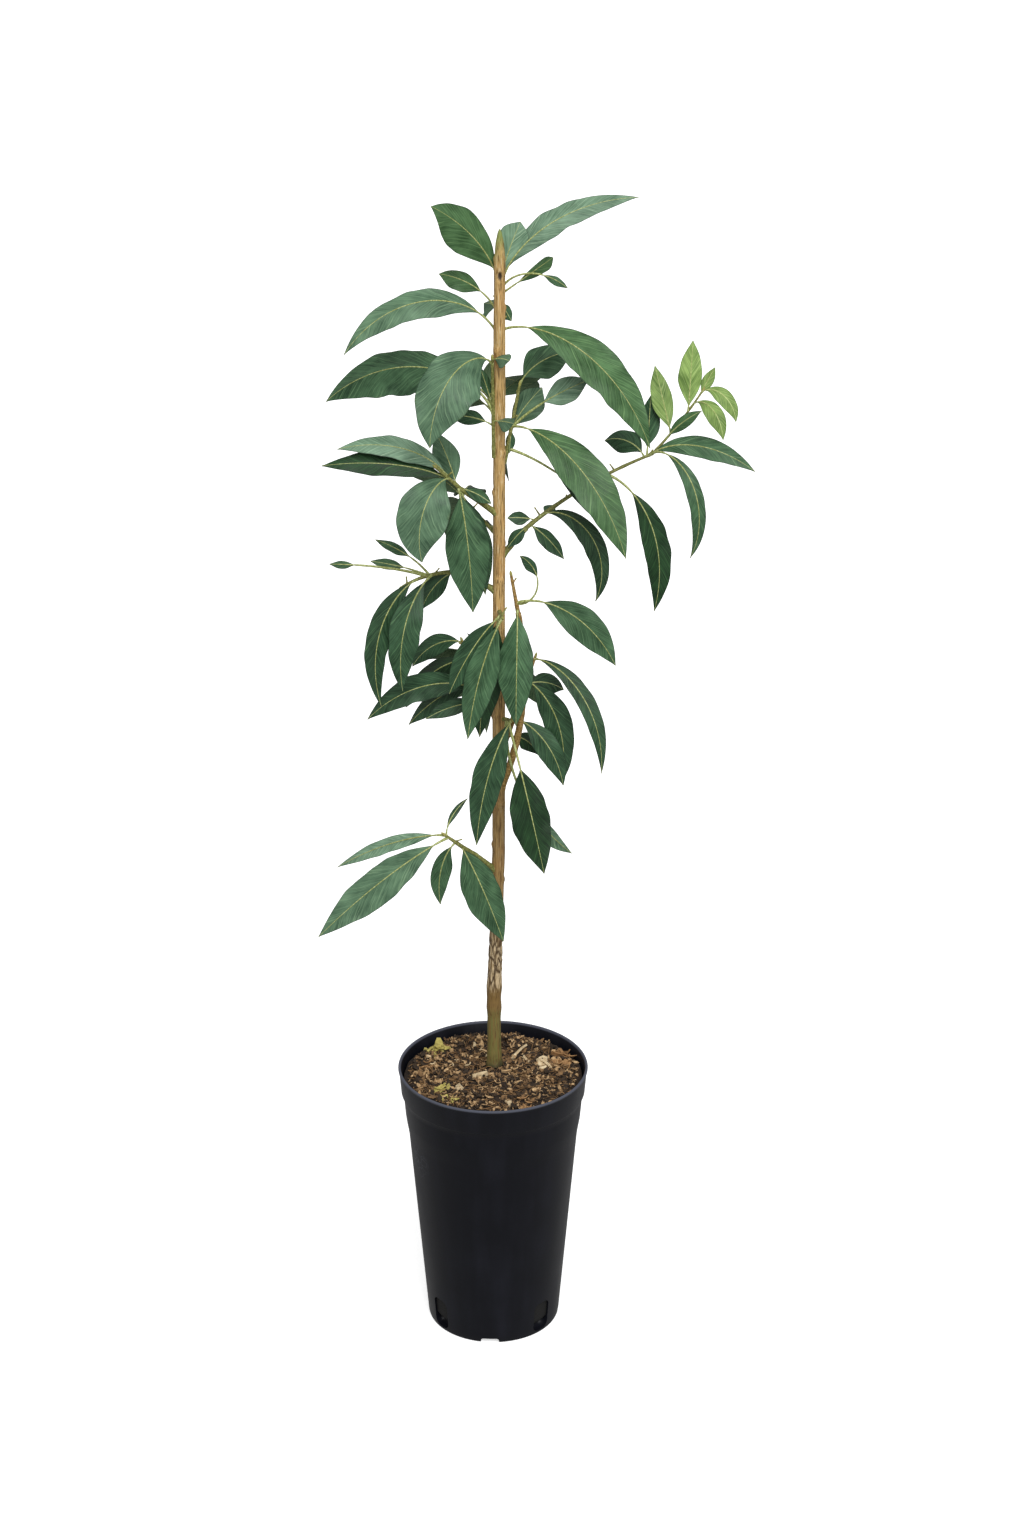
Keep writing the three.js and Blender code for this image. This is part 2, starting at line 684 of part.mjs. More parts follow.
function mesh(name, solid, finish) {
  const piece = new THREE.Mesh(geometryOf(solid), new THREE.MeshStandardMaterial(finish));
  piece.name = name;
  return piece;
}

const tree = new THREE.Group();
tree.add(mesh("pot", pot(), FINISHES.pot));
tree.add(mesh("potting_mix", pottingMix(), FINISHES.mix));
tree.add(mesh("trunk", trunkSolid(), FINISHES.trunk));

const trunkClearance = trunkSolid(GAP);
const boughPaths = {};
let limbClearance = trunkClearance;
for (const [name, bough] of Object.entries(BOUGHS)) {
  boughPaths[name] = boughPath(bough);
  const limb = boughSolid(boughPaths[name], bough);
  const swollen = boughSolid(boughPaths[name], bough, GAP);
  tree.add(mesh(name, largestBody(limb.subtract(trunkClearance)), FINISHES.bough));
  limbClearance = limbClearance.add(swollen);
}
for (const [name, mass] of Object.entries(MASSES)) {
  const solid = foliage(mass, stemStart(mass, boughPaths)).subtract(limbClearance);
  tree.add(mesh(name, largestBody(solid), FINISHES.leaf));
}

export default tree;
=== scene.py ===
"""A young avocado tree in a tall nursery pot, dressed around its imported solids.

Sizes are in millimetres and degrees, as in the solids' own source, and become metres in the meshes.
-Y is the front and +Z is up. A "turn" is a compass angle round +Z: 0 is +X, 90 the back, 270 the front.
"""

from __future__ import annotations

import logging
import math
from collections import defaultdict
from dataclasses import dataclass, field
from enum import Enum
from typing import Any, Callable, Iterator, NamedTuple, Sequence

import bpy
import numpy as np
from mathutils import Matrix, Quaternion, Vector, noise

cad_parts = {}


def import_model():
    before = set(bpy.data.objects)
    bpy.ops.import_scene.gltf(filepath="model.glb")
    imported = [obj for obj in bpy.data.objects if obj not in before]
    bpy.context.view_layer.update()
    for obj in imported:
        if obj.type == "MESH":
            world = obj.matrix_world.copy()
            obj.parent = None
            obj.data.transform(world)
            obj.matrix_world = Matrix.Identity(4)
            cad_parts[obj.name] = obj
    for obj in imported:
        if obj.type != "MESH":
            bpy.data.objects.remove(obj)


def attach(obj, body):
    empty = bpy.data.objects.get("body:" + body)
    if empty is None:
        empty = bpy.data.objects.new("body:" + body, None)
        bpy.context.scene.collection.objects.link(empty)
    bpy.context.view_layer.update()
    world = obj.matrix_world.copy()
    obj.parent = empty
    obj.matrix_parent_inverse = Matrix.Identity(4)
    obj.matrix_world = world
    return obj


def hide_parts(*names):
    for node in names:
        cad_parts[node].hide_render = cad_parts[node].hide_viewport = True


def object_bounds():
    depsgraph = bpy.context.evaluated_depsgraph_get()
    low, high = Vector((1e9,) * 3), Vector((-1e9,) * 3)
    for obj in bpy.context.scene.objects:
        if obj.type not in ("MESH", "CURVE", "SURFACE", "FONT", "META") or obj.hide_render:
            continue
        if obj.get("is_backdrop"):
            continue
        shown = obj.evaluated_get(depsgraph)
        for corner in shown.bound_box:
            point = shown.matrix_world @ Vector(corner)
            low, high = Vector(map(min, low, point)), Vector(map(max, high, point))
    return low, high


log = logging.getLogger("avocado_tree")

Pair = tuple[float, float]
Triple = tuple[float, float, float]
Draw = Callable[[], float]  # gives the next number, from 0 to 1, of a repeatable stream
Socket = bpy.types.NodeSocket
Piece = bpy.types.Object
Material = bpy.types.Material

MM = 0.001  # metres
CM = 10.0  # millimetres
BODY = "root"
TOOL_MAP = "OFBake"  # the map with a separate island for each skin of each leaf
BLADE_MAP = "blade"  # centimetres along the midrib and across it
GROWTH = "growth"  # a leaf's own lightness, the share of its length, and a number of its own
MARGIN = "margin"  # centimetres from the blade's edge
ATTRIBUTES = {GROWTH: ("FLOAT_VECTOR", "vector"), MARGIN: ("FLOAT", "value")}
FRONT, BACK = 270.0, 90.0
GOLDEN_ANGLE = 137.5  # the turn from one leaf or twig to the next
KNOT_HEIGHT = 972.0  # of an old branch's scar on the trunk's front
SPREAD, MULTIPLIER, MODULUS = 7919, 48271, 2147483647  # of the stream of numbers
SKIPPED = (None,) * 5  # a Mix node's sockets for numbers and vectors, before those for colours
MIX = {"out": 2, "data_type": "RGBA"}  # makes a Mix node mix colours


# ------------------------------------------------------------------ small helpers


def linear(code: str) -> tuple[float, float, float, float]:
    """Turns an sRGB hex colour to a linear one.

    Args:
        code: The colour as "#rrggbb".

    Returns:
        Red, green, blue and an alpha of 1.
    """
    shares = [int(code[i : i + 2], 16) / 255 for i in (1, 3, 5)]
    red, green, blue = (s / 12.92 if s <= 0.04045 else ((s + 0.055) / 1.055) ** 2.4 for s in shares)
    return red, green, blue, 1.0


def repeats(size_mm: float) -> float:
    """Returns the texture scale, in repeats to the metre, of a pattern of the given real size."""
    return 1 / (size_mm * MM)


def seeded(seed: int) -> Draw:
    """Starts a repeatable stream of numbers, the same one as in the solids' source.

    Args:
        seed: Its seed.

    Returns:
        A function that draws the next number from 0 to 1.
    """
    state = seed * SPREAD % MODULUS

    def draw() -> float:
        """Draws the next number.

        Returns:
            A number from 0 to 1.
        """
        nonlocal state
        state = state * MULTIPLIER % MODULUS
        return state / MODULUS

    return draw


def between(limits: Pair, share: float) -> float:
    """Returns the value a share of the way from the first limit to the second."""
    return limits[0] + (limits[1] - limits[0]) * share


def heading(turn: float, rise: float) -> Vector:
    """Returns the unit vector with a compass turn and a rise above the level, in degrees."""
    level, turned = math.cos(math.radians(rise)), math.radians(turn)
    return Vector((level * math.cos(turned), level * math.sin(turned), math.sin(math.radians(rise))))


def select_only(piece: Piece) -> None:
    """Selects one object and makes it the active one.

    Args:
        piece: The object.
    """
    bpy.ops.object.select_all(action="DESELECT")
    piece.select_set(True)
    bpy.context.view_layer.objects.active = piece


def primitive(operator: Callable[..., Any], name: str, **sizes: Any) -> Piece:
    """Adds a primitive with a name and leaves it alone selected.

    Args:
        operator: The operator that adds it.
        name: Its name.
        **sizes: The operator's options.

    Returns:
        The new object.
    """
    bpy.ops.object.select_all(action="DESELECT")
    operator(**{"location": (0, 0, 0), **sizes})
    piece = bpy.context.view_layer.objects.active
    piece.name = piece.data.name = name
    return piece


def open_mesh() -> None:
    """Opens the active mesh in edit mode with all of it selected."""
    bpy.ops.object.mode_set(mode="EDIT")
    bpy.ops.mesh.select_all(action="SELECT")


def close_mesh() -> None:
    """Turns the active mesh's faces outwards and leaves edit mode."""
    bpy.ops.mesh.select_all(action="SELECT")
    bpy.ops.mesh.normals_make_consistent(inside=False)
    bpy.ops.object.mode_set(mode="OBJECT")


def dress(piece: Piece, smooth_angle: float, *materials: Material) -> Piece:
    """Gives a piece its materials and smooths it.

    Args:
        piece: The piece.
        smooth_angle: Edges under this many degrees are smoothed; 0 leaves all of them sharp.
        *materials: The materials, in slot order.

    Returns:
        The piece.
    """
    piece.data.materials.clear()
    for material in materials:
        piece.data.materials.append(material)
    select_only(piece)
    if smooth_angle:
        bpy.ops.object.shade_smooth_by_angle(angle=math.radians(smooth_angle))
    return piece


def seat(piece: Piece, slot: str, *nodes: str) -> None:
    """Rides a finished piece on the plant's body.

    Args:
        piece: The piece.
        slot: Its finish slot; not used.
        *nodes: The solids' nodes that it stands for.
    """
    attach(piece, BODY)
    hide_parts(*nodes)
    log.info("%s: %d faces", piece.name, len(piece.data.polygons))


# ------------------------------------------------------------------ finishes


class Recipe:
    """The nodes of one material or of the surroundings, which all feed its shader."""

    def __init__(self, owner: Material | bpy.types.World, **inputs: Any) -> None:
        """Starts with the shader alone.

        Args:
            owner: The material or the world.
            **inputs: Constant values for the shader's sockets.
        """
        owner.use_nodes = True
        self.owner = owner
        self.tree = owner.node_tree
        self.shader = next(node for node in self.tree.nodes if node.outputs)
        self.feed(**inputs)

    def fill(self, node: bpy.types.Node, inputs: dict[Any, Any]) -> None:
        """Fills a node's sockets.

        Args:
            node: The node.
            inputs: For each socket's number, or name with _ for a space, a number, a vector, a hex colour,
                the socket that feeds it, or nothing.
        """
        for key, value in inputs.items():
            socket = node.inputs[key.replace("_", " ") if isinstance(key, str) else key]
            if isinstance(value, Socket):
                self.tree.links.new(value, socket)
            elif value is not None:
                socket.default_value = linear(value) if isinstance(value, str) else value

    def add(self, kind: str, *values: Any, out: int | str = 0, **named: Any) -> Socket:
        """Adds a node with its settings and links.

        Args:
            kind: The node's type, less its first word.
            *values: What goes into its sockets, in their order.
            out: Which of its outputs is wanted.
            **named: Sockets by name, with a capital, and settings, without one.

        Returns:
            The wanted output.
        """
        node = self.tree.nodes.new("ShaderNode" + kind)
        for name in [name for name in named if name.islower()]:
            setattr(node, name, named.pop(name))
        self.fill(node, {**dict(enumerate(values)), **named})
        return node.outputs[out]

    def feed(self, **inputs: Any) -> Any:
        """Fills the shader's sockets and returns the material or the world."""
        self.fill(self.shader, inputs)
        return self.owner


class Tone(Enum):
    """How light and how green a spray's leaves are: pale and sunlit tones are partly painted light, dark and
    deep ones partly painted shade.
    """

    PALE_LIT = "pale"
    SUNLIT = "sunlit"
    FRESH = "fresh"
    MIDDLE = "middle"
    DARK = "dark"
    DEEP_SHADE = "deep"
    YOUNG = "young"


PALE_LIT, SUNLIT, FRESH, MIDDLE, DARK, DEEP_SHADE, YOUNG = Tone


@dataclass(frozen=True)
class BladeFinish:
    """A leathery avocado leaf: fine streaks slant forward from a pale midrib, and the margin is dark.

    Pale lines over the upper skin are painted highlights, standing for thin wax that catches the light; the
    underside is matt.
    """

    name: str
    dark: str
    light: str
    # the pale colour of the side veins and of the painted highlights
    vein_and_highlight: str
    margin: str = "#16291b"
    rib: str = "#ccd294"
    roughness: float = 0.46
    gloss: float = 0.3
    lean: float = 2.1
    curl: float = -0.2
    wander_cm: float = 0.9
    streak_cm: float = 0.2
    cloud_cm: float = 1.3
    vein_gap_cm: float = 0.95
    vein_strength: float = 0.3
    margin_cm: float = 0.09

    def build(self) -> Material:
        """Builds the material, which reads the blade's own map, growth and margin.

        Returns:
            The material.
        """
        recipe = Recipe(bpy.data.materials.new(self.name), Specular_IOR_Level=self.gloss)
        add = recipe.add
        along, aside, _ = add("SeparateXYZ", add("UVMap", uv_map=BLADE_MAP)).node.outputs
        growth = add("Attribute", attribute_name=GROWTH, out="Vector")
        lightness, share, number = add("SeparateXYZ", growth).node.outputs
        across = add("Math", aside, operation="ABSOLUTE")

        # A side vein leans forward, so what lies on it shares one distance along the midrib.
        lean = add("Math", across, self.curl, self.lean, operation="MULTIPLY_ADD")
        back = add("Math", lean, across, operation="MULTIPLY")
        vein = add("Math", along, back, operation="SUBTRACT")
        place = add("CombineXYZ", along, aside, number)
        eddy = add("Mapping", place, Scale=(0.45, 0.9, 50.0))
        eddies = add("TexNoise", Vector=eddy, Scale=1.0, Detail=1.0)
        wandering = add("Math", eddies, self.wander_cm, vein, operation="MULTIPLY_ADD")

        # Streaks follow the veins, with clouds under them and painted highlights in pale lines over them.
        on_vein = add("CombineXYZ", wandering, aside, number)
        thin = add("Mapping", on_vein, Scale=(1 / self.streak_cm, 0.8, 40.0))
        fine = add("TexNoise", Vector=thin, Scale=1.0, Detail=4.0, Roughness=0.66)
        broad = add("Mapping", place, Scale=(0.8 / self.cloud_cm, 1 / self.cloud_cm, 60.0))
        clouds = add("TexNoise", Vector=broad, Scale=1.0, Detail=3.0)
        both = add("Math", fine, 1.2, clouds, operation="MULTIPLY_ADD")
        streaks = add("MapRange", both, 0.8, 1.4)
        highlight_place = add("Mapping", on_vein, (7.0, 3.0, 0.0), Scale=(6.0, 0.45, 40.0))
        highlight_noise = add("TexNoise", Vector=highlight_place, Scale=1.0, Detail=2.0)
        painted_highlights = add("MapRange", highlight_noise, 0.6, 0.72, To_Max=0.6)

        # The side veins fade towards the margin, and the midrib narrows to nothing at the tip.
        gaps = add("Math", vein, self.vein_gap_cm, operation="DIVIDE")
        fold = add("Math", gaps, 0.5, operation="PINGPONG")
        line = add("MapRange", fold, 0.01, 0.06, self.vein_strength, 0.0, interpolation_type="SMOOTHSTEP")
        fading = add("MapRange", across, 0.4, 1.8, 1.0, 0.2)
        veins = add("Math", line, fading, operation="MULTIPLY")
        width = add("Math", share, -0.06, 0.075, operation="MULTIPLY_ADD")
        part = add("Math", across, width, operation="DIVIDE")
        rib = add("MapRange", part, 0.5, 1.0, 0.8, 0.0, interpolation_type="SMOOTHSTEP")

        # The pale side veins and the painted highlight lines take one pale colour.
        pale = add("Math", veins, painted_highlights, operation="MAXIMUM")
        colour = self.dark
        for mask, coat in ((streaks, self.light), (pale, self.vein_and_highlight)):
            colour = add("Mix", mask, *SKIPPED, colour, coat, **MIX)
        toned = add("HueSaturation", Value=lightness, Color=colour)
        edge = add("Attribute", attribute_name=MARGIN, out="Fac")
        rimmed = add("MapRange", edge, 0.0, self.margin_cm, 0.75, 0.0)
        for mask, coat in ((rimmed, self.margin), (rib, self.rib)):
            toned = add("Mix", mask, *SKIPPED, toned, coat, **MIX)
        dulled = add("MapRange", streaks, To_Min=self.roughness - 0.06, To_Max=self.roughness + 0.1)
        height = add("Math", veins, -1.6, streaks, operation="MULTIPLY_ADD")
        relief = add("Bump", Height=height, Strength=0.5, Distance=0.3 * MM)
        return recipe.feed(Base_Color=toned, Roughness=dulled, Normal=relief)


@dataclass(frozen=True)
class CrumbFinish:
    """Rotted bark, coir or dry leaf: dull, fibrous, and blotched a few millimetres across."""

    name: str
    dark: str
    pale: str
    blotch: float = 4.0
    detail: float = 6.0
    raggedness: float = 0.7
    blend: Pair = (0.34, 0.66)
    roughness: float = 0.92
    gloss: float = 0.5
    relief: float = 0.7
    depth: float = 0.8

    def build(self) -> Material:
        """Builds the material.

        Returns:
            The material.
        """
        owner = bpy.data.materials.new(self.name)
        recipe = Recipe(owner, Roughness=self.roughness, Specular_IOR_Level=self.gloss)
        add = recipe.add
        place = add("TexCoord", out="Object")
        grain = {"Scale": repeats(self.blotch), "Detail": self.detail, "Roughness": self.raggedness}
        blotches = add("TexNoise", Vector=place, **grain)
        mask = add("MapRange", blotches, *self.blend)
        colour = add("Mix", mask, *SKIPPED, self.dark, self.pale, **MIX)
        relief = add("Bump", Height=blotches, Strength=self.relief, Distance=self.depth * MM)
        return recipe.feed(Base_Color=colour, Normal=relief)


@dataclass(frozen=True)
class StalkFinish(CrumbFinish):
    """Soft green wood or leaf stalk: smooth skin with faint pale dots a millimetre apart."""

    blotch: float = 1.6
    detail: float = 3.0
    raggedness: float = 0.5
    blend: Pair = (0.42, 0.68)
    roughness: float = 0.55
    gloss: float = 0.3
    relief: float = 0.3
    depth: float = 0.2


@dataclass(frozen=True)
class BarkFinish:
    """Young bark in bands up the stem: olive at the foot, cracked brown above the graft, tan, a green tip.

    Streaks run along the grain, 1 mm wide and 30 mm long, with short dark splits and pale flecks among
    them. The cracked band sheds pale flakes, and a branch's old scar makes a dark knot near the top.
    """

    name: str
    olive: str = "#6e6a35"
    brown: str = "#7a5f30"
    tan: str = "#c8a467"
    streak: str = "#8c6a36"
    blush: str = "#c98650"
    fleck: str = "#dcc79c"
    split: str = "#5c4420"
    flake: str = "#d9c29b"
    crack: str = "#4a3821"
    young: str = "#84904c"
    knot: str = "#2b1d10"
    # darker at the very foot of the stem, where it meets the mix
    darkened_foot: str = "#39361c"
    shaded: str = "#70552c"
    knot_place: Triple = (7.3, -3.4, KNOT_HEIGHT)
    knot_reach: Triple = (1.9, 4.0, 3.6)
    ragged: float = 16.0
    darkened_foot_top: float = 256.0
    olive_top: float = 306.0
    brown_top: float = 330.0
    cracked_top: float = 392.0
    shaded_top: float = 590.0
    tip_bottom: float = 994.0

    def build(self) -> Material:
        """Builds the material, with its bands at their heights on the stem.

        Returns:
            The material.
        """
        recipe = Recipe(bpy.data.materials.new(self.name))
        add = recipe.add
        place = add("TexCoord", out="Object")
        squashes = (1 / 28, 1 / 12, 0.17)
        long_grain, short_grain, tall_cells = (add("Mapping", place, Scale=(1.0, 1.0, s)) for s in squashes)
        streaks = add("TexNoise", Vector=long_grain, Scale=repeats(1.1), Detail=5.0, Roughness=0.6)
        streaky = add("MapRange", streaks, 0.46, 0.66)
        stains = add("TexNoise", Vector=place, Scale=repeats(38), Detail=2.0)
        stained = add("MapRange", stains, 0.52, 0.74, To_Max=0.45)
        grain = add("TexNoise", Vector=short_grain, Scale=repeats(1.1), Detail=3.0, Roughness=0.6)
        split = add("MapRange", grain, 0.47, 0.37, To_Max=0.8)
        flecked = add("MapRange", grain, 0.57, 0.68, To_Max=0.8)
        plates = add("TexVoronoi", Vector=tall_cells, Scale=repeats(3.4), feature="DISTANCE_TO_EDGE")
        open_cracks = add("MapRange", plates, 0.03, 0.16, 1.0, 0.0)

        coats = (
            (self.olive, (streaky, self.brown)),
            (self.flake, (streaky, self.brown), (open_cracks, self.crack)),
            (self.tan, (streaky, self.streak), (stained, self.blush), (flecked, self.fleck)),
        )
        barks = []
        for colour, *over in coats:
            for mask, coat in over:
                colour = add("Mix", mask, *SKIPPED, colour, coat, **MIX)
            barks.append(colour)
        foot, cracked, upper = barks
        lower = add("Mix", 0.5, *SKIPPED, upper, self.shaded, **MIX)
        bands = (
            (self.darkened_foot_top, 7.0, foot), (self.olive_top, 6.0, self.brown), (self.brown_top, 8.0, cracked),
            (self.cracked_top, 26.0, lower), (self.shaded_top, 80.0, upper),
            (self.tip_bottom, 14.0, self.young),
        )
        waver = add("TexNoise", Vector=place, Scale=repeats(7), Detail=2.0)
        level = add("SeparateXYZ", place, out="Z")
        height = add("Math", waver, self.ragged * MM, level, operation="MULTIPLY_ADD")
        colour = self.darkened_foot
        for top, blur, above in bands:
            middle = top + self.ragged / 2
            limits = ((middle - blur) * MM, (middle + blur) * MM)
            step = add("MapRange", height, *limits, interpolation_type="SMOOTHSTEP")
            colour = add("Mix", step, *SKIPPED, colour, above, **MIX)

        reach = [repeats(size) for size in self.knot_reach]
        shift = [-centre / size for centre, size in zip(self.knot_place, self.knot_reach)]
        knot_space = add("Mapping", place, shift, Scale=reach)
        from_knot = add("VectorMath", knot_space, out="Value", operation="LENGTH")
        in_knot = add("MapRange", from_knot, 1.15, 0.65, To_Max=0.95)
        dry = add("MapRange", streaks, 0.3, 0.7, 0.58, 0.82)
        for mask, coat in ((split, self.split), (in_knot, self.knot)):
            colour = add("Mix", mask, *SKIPPED, colour, coat, **MIX)
        relief = add("Bump", Height=grain, Strength=0.6, Distance=0.6 * MM)
        return recipe.feed(Base_Color=colour, Roughness=dry, Normal=relief)


@dataclass(frozen=True)
class PotFinish:
    """Injection-moulded black polypropylene: a satin skin with a fine grain, rubbed a little paler in use.

    A painted highlight makes a paler band round the top of the lip, and one place on the wall has slanting
    scratches.
    """

    name: str = "satin_black_polypropylene"
    colour: str = "#0c0d13"
    rubbed: str = "#171820"
    # painted highlight on the rounded lip
    lip: str = "#565965"
    scratch: str = "#4d4f58"
    gloss: float = 0.18
    lip_highlight_limits: Pair = (252.6, 254.0)
    scratch_centre: Triple = (-68.0, -33.0, 176.0)
    scratch_reach: float = 20.0

    def build(self) -> Material:
        """Builds the material.

        Returns:
            The material.
        """
        recipe = Recipe(bpy.data.materials.new(self.name), Specular_IOR_Level=self.gloss)
        add = recipe.add
        place = add("TexCoord", out="Object")
        flow = add("Mapping", place, Scale=(1.0, 1.0, 0.08))
        drag = add("TexNoise", Vector=flow, Scale=repeats(16), Detail=4.0)
        cloud = add("TexNoise", Vector=place, Scale=repeats(45), Detail=5.0)
        worn = add("Math", drag, cloud, operation="MULTIPLY")
        rubbed = add("MapRange", worn, 0.2, 0.42, To_Max=0.75)
        low, high = (limit * MM for limit in self.lip_highlight_limits)
        # Painted highlight: a paler band round the top of the lip.
        lip = add("MapRange", add("SeparateXYZ", place, out="Z"), low, high, To_Max=0.8)

        centre = [value * MM for value in self.scratch_centre]
        reach = self.scratch_reach * MM
        away = add("VectorMath", place, centre, out="Value", operation="DISTANCE")
        near = add("MapRange", away, reach * 0.4, reach, 1.0, 0.0)
        slanted = add("Mapping", place, Rotation=(0.0, 0.75, 0.5), Scale=(0.22, 1.0, 1.0))
        cells = add("TexVoronoi", Vector=slanted, Scale=repeats(6), feature="DISTANCE_TO_EDGE")
        lines = add("MapRange", cells, 0.0, 0.05, 0.8, 0.0)
        scuffs = add("Math", near, lines, operation="MULTIPLY")

        colour = self.colour
        for mask, coat in ((rubbed, self.rubbed), (lip, self.lip), (scuffs, self.scratch)):
            colour = add("Mix", mask, *SKIPPED, colour, coat, **MIX)
        dulled = add("MapRange", worn, 0.15, 0.45, 0.36, 0.5)
        grain = add("TexNoise", Vector=place, Scale=repeats(0.7), Detail=2.0)
        height = add("Math", scuffs, -1.5, grain, operation="MULTIPLY_ADD")
        relief = add("Bump", Height=height, Strength=0.12, Distance=0.2 * MM)
        return recipe.feed(Base_Color=colour, Roughness=dulled, Normal=relief)


# Pale and sunlit blades carry painted light, and dark and deep blades painted shade, besides each spray's own
# green.
BLADES: dict[Tone, BladeFinish] = {
    PALE_LIT: BladeFinish("avocado_leaf_pale_lit", "#4c6a52", "#87a98b", "#b9d5af"),
    SUNLIT: BladeFinish("avocado_leaf_sunlit", "#334e39", "#628264", "#8baa83"),
    FRESH: BladeFinish("avocado_leaf_fresh", "#294925", "#567b4e", "#81a86e"),
    MIDDLE: BladeFinish("avocado_leaf_middle", "#233f27", "#4d714e", "#779b6f"),
    DARK: BladeFinish("avocado_leaf_dark_shade", "#152e1a", "#395a3d", "#5e8459"),
    DEEP_SHADE: BladeFinish("avocado_leaf_deep_shade", "#0a200e", "#244625", "#446f40"),
    YOUNG: BladeFinish("avocado_leaf_young", "#496729", "#95b363", "#bdd288", "#46642c", "#c3d08a", 0.52),
}
UNDERSIDE = BladeFinish(
    "avocado_leaf_underside", "#3f5a3d", "#63795a", "#8b9b72", rib="#a8ae74", roughness=0.7, gloss=0.15
)
RIB = StalkFinish("leaf_stalk_green", "#8b9350", "#c3c98c")
GREEN_TWIG = StalkFinish("green_twig", "#6a6c36", "#97985a")
BROWN_TWIG = StalkFinish("brown_twig", "#7b6031", "#b2925a", roughness=0.7)
TRUNK_BARK = BarkFinish("avocado_trunk_bark")
BUD = StalkFinish("bud_scale", "#8a8a45", "#b4a868")


# ------------------------------------------------------------------ growth rules shared with the solids


class Growth(NamedTuple):
    """A point on a path and the way the path runs there."""

    point: Vector
    direction: Vector


class GrowthPath:
    """A path whose chord has a given turn, rise and length, and which curves down and sideways on its way."""

    STEPS = 24

    def __init__(
        self, start: Vector, turn: float, rise: float, length: float, bend: float = 0.0,
        sweep: float = 0.0, ease: float = 1.0,
    ) -> None:
        """Lays the path out.

        Args:
            start: Its first point.
            turn: The chord's compass angle.
            rise: The chord's angle above the level.
            length: The chord's length.
            bend: How far the path curves down over its length.
            sweep: How far it curves sideways.
            ease: The smaller, the more of the bend is at its foot.
        """
        raw = [Vector()]
        for i in range(self.STEPS):
            s = (i + 0.5) / self.STEPS
            step = heading(turn + sweep * (s - 0.5), rise + bend * (0.5 - s**ease))
            raw.append(raw[-1] + step / self.STEPS)
        swing: Quaternion = raw[-1].normalized().rotation_difference(heading(turn, rise))
        self.length = length / raw[-1].length
        self.points = [start + (swing @ point) * self.length for point in raw]

    def at(self, share: float) -> Growth:
        """Finds a place on the path.

        Args:
            share: Its share of the path's length.

        Returns:
            The place and the heading there.
        """
        place = min(max(share, 0.0), 1.0) * self.STEPS
        i = min(int(place), self.STEPS - 1)
        here, there = self.points[i], self.points[i + 1]
        return Growth(here.lerp(there, place - i), (there - here).normalized())

    def smooth_heading(self, share: float) -> Vector:
        """Returns the heading with the corners between steps rounded off."""
        half_step = 0.5 / self.STEPS
        return (self.at(share + half_step).point - self.at(share - half_step).point).normalized()


@dataclass(frozen=True)
class TrunkShape:
    """The trunk's axis and radius: a lean from the foot, a graft collar, then an almost straight leader.

    Each row is a height and the value there, with straight lines between rows.
    """

    foot: float = 251.0
    top: float = 1009.0
    axis_x: tuple[Pair, ...] = ((251, 1), (320, 1), (385, 3), (465, 5.4), (700, 6.1), (1009, 7.2))
    axis_y: tuple[Pair, ...] = ((251, 9), (320, 8), (385, 5), (465, 3), (700, 0), (1009, 1))
    radii: tuple[Pair, ...] = (
        (251, 8.2), (256, 6.8), (268, 5.8), (300, 5.7), (308, 6.4), (318, 6.0), (330, 6.7), (340, 5.9),
        (420, 5.3), (700, 4.9), (900, 4.6), (985, 4.2), (998, 3.2), (1006, 1.7), (1009, 0.5),
    )

    def axis(self, z: float) -> Vector:
        """Returns the middle of the trunk at a height."""
        return Vector((np.interp(z, *zip(*self.axis_x)), np.interp(z, *zip(*self.axis_y)), z))

    def radius(self, z: float) -> float:
        """Returns the trunk's radius at a height."""
        return float(np.interp(z, *zip(*self.radii)))


class Leaf(NamedTuple):
    """One leaf on its stem: a place over 1 is on the stem's young shoot."""

    tone: Tone
    place: float
    turn: float
    rise: float
    span: float
    width: float
    droop: float
    petiole: float = 10.0
    roll: float = 0.0
    widest: float = 0.44


class Limb(NamedTuple):
    """A limb by its chord, its curve down, its radii at foot and tip, and its height on the trunk."""

    turn: float
    rise: float
    length: float
    bend: float
    foot: float
    tip: float
    height: float = 0.0


@dataclass(frozen=True)
class Mass:
    """One mass of foliage: a stem on the trunk's side, or at a bough's tip, and its leaves."""

    name: str
    rise: float
    length: float
    seed: int
    leaves: tuple[Leaf, ...]
    turn: float | None = None
    height: float = 0.0
    side: float = 0.0
    bough: str | None = None
    bend: float = 0.0
    lit: float = FRONT
    shoot: Limb | None = None
    green: bool = True

    @property
    def heading_turn(self) -> float:
        """The stem's compass turn, which is its side of the trunk unless it says otherwise."""
        return self.side if self.turn is None else self.turn


BOUGHS: dict[str, Limb] = {
    "bough_right_long": Limb(17, 46, 34, 0, 2.6, 2.2, height=733),
    "bough_left_upper": Limb(201, 38, 42, 0, 2.4, 2.0, height=771),
    "bough_left_middle": Limb(167, 24, 38, 10, 2.4, 2.0, height=703),
    "bough_left_low": Limb(212, 43, 48, 10, 2.4, 1.9, height=443),
    "bough_right_side": Limb(341, 84, 168, -34, 3.2, 2.4, height=519),
}

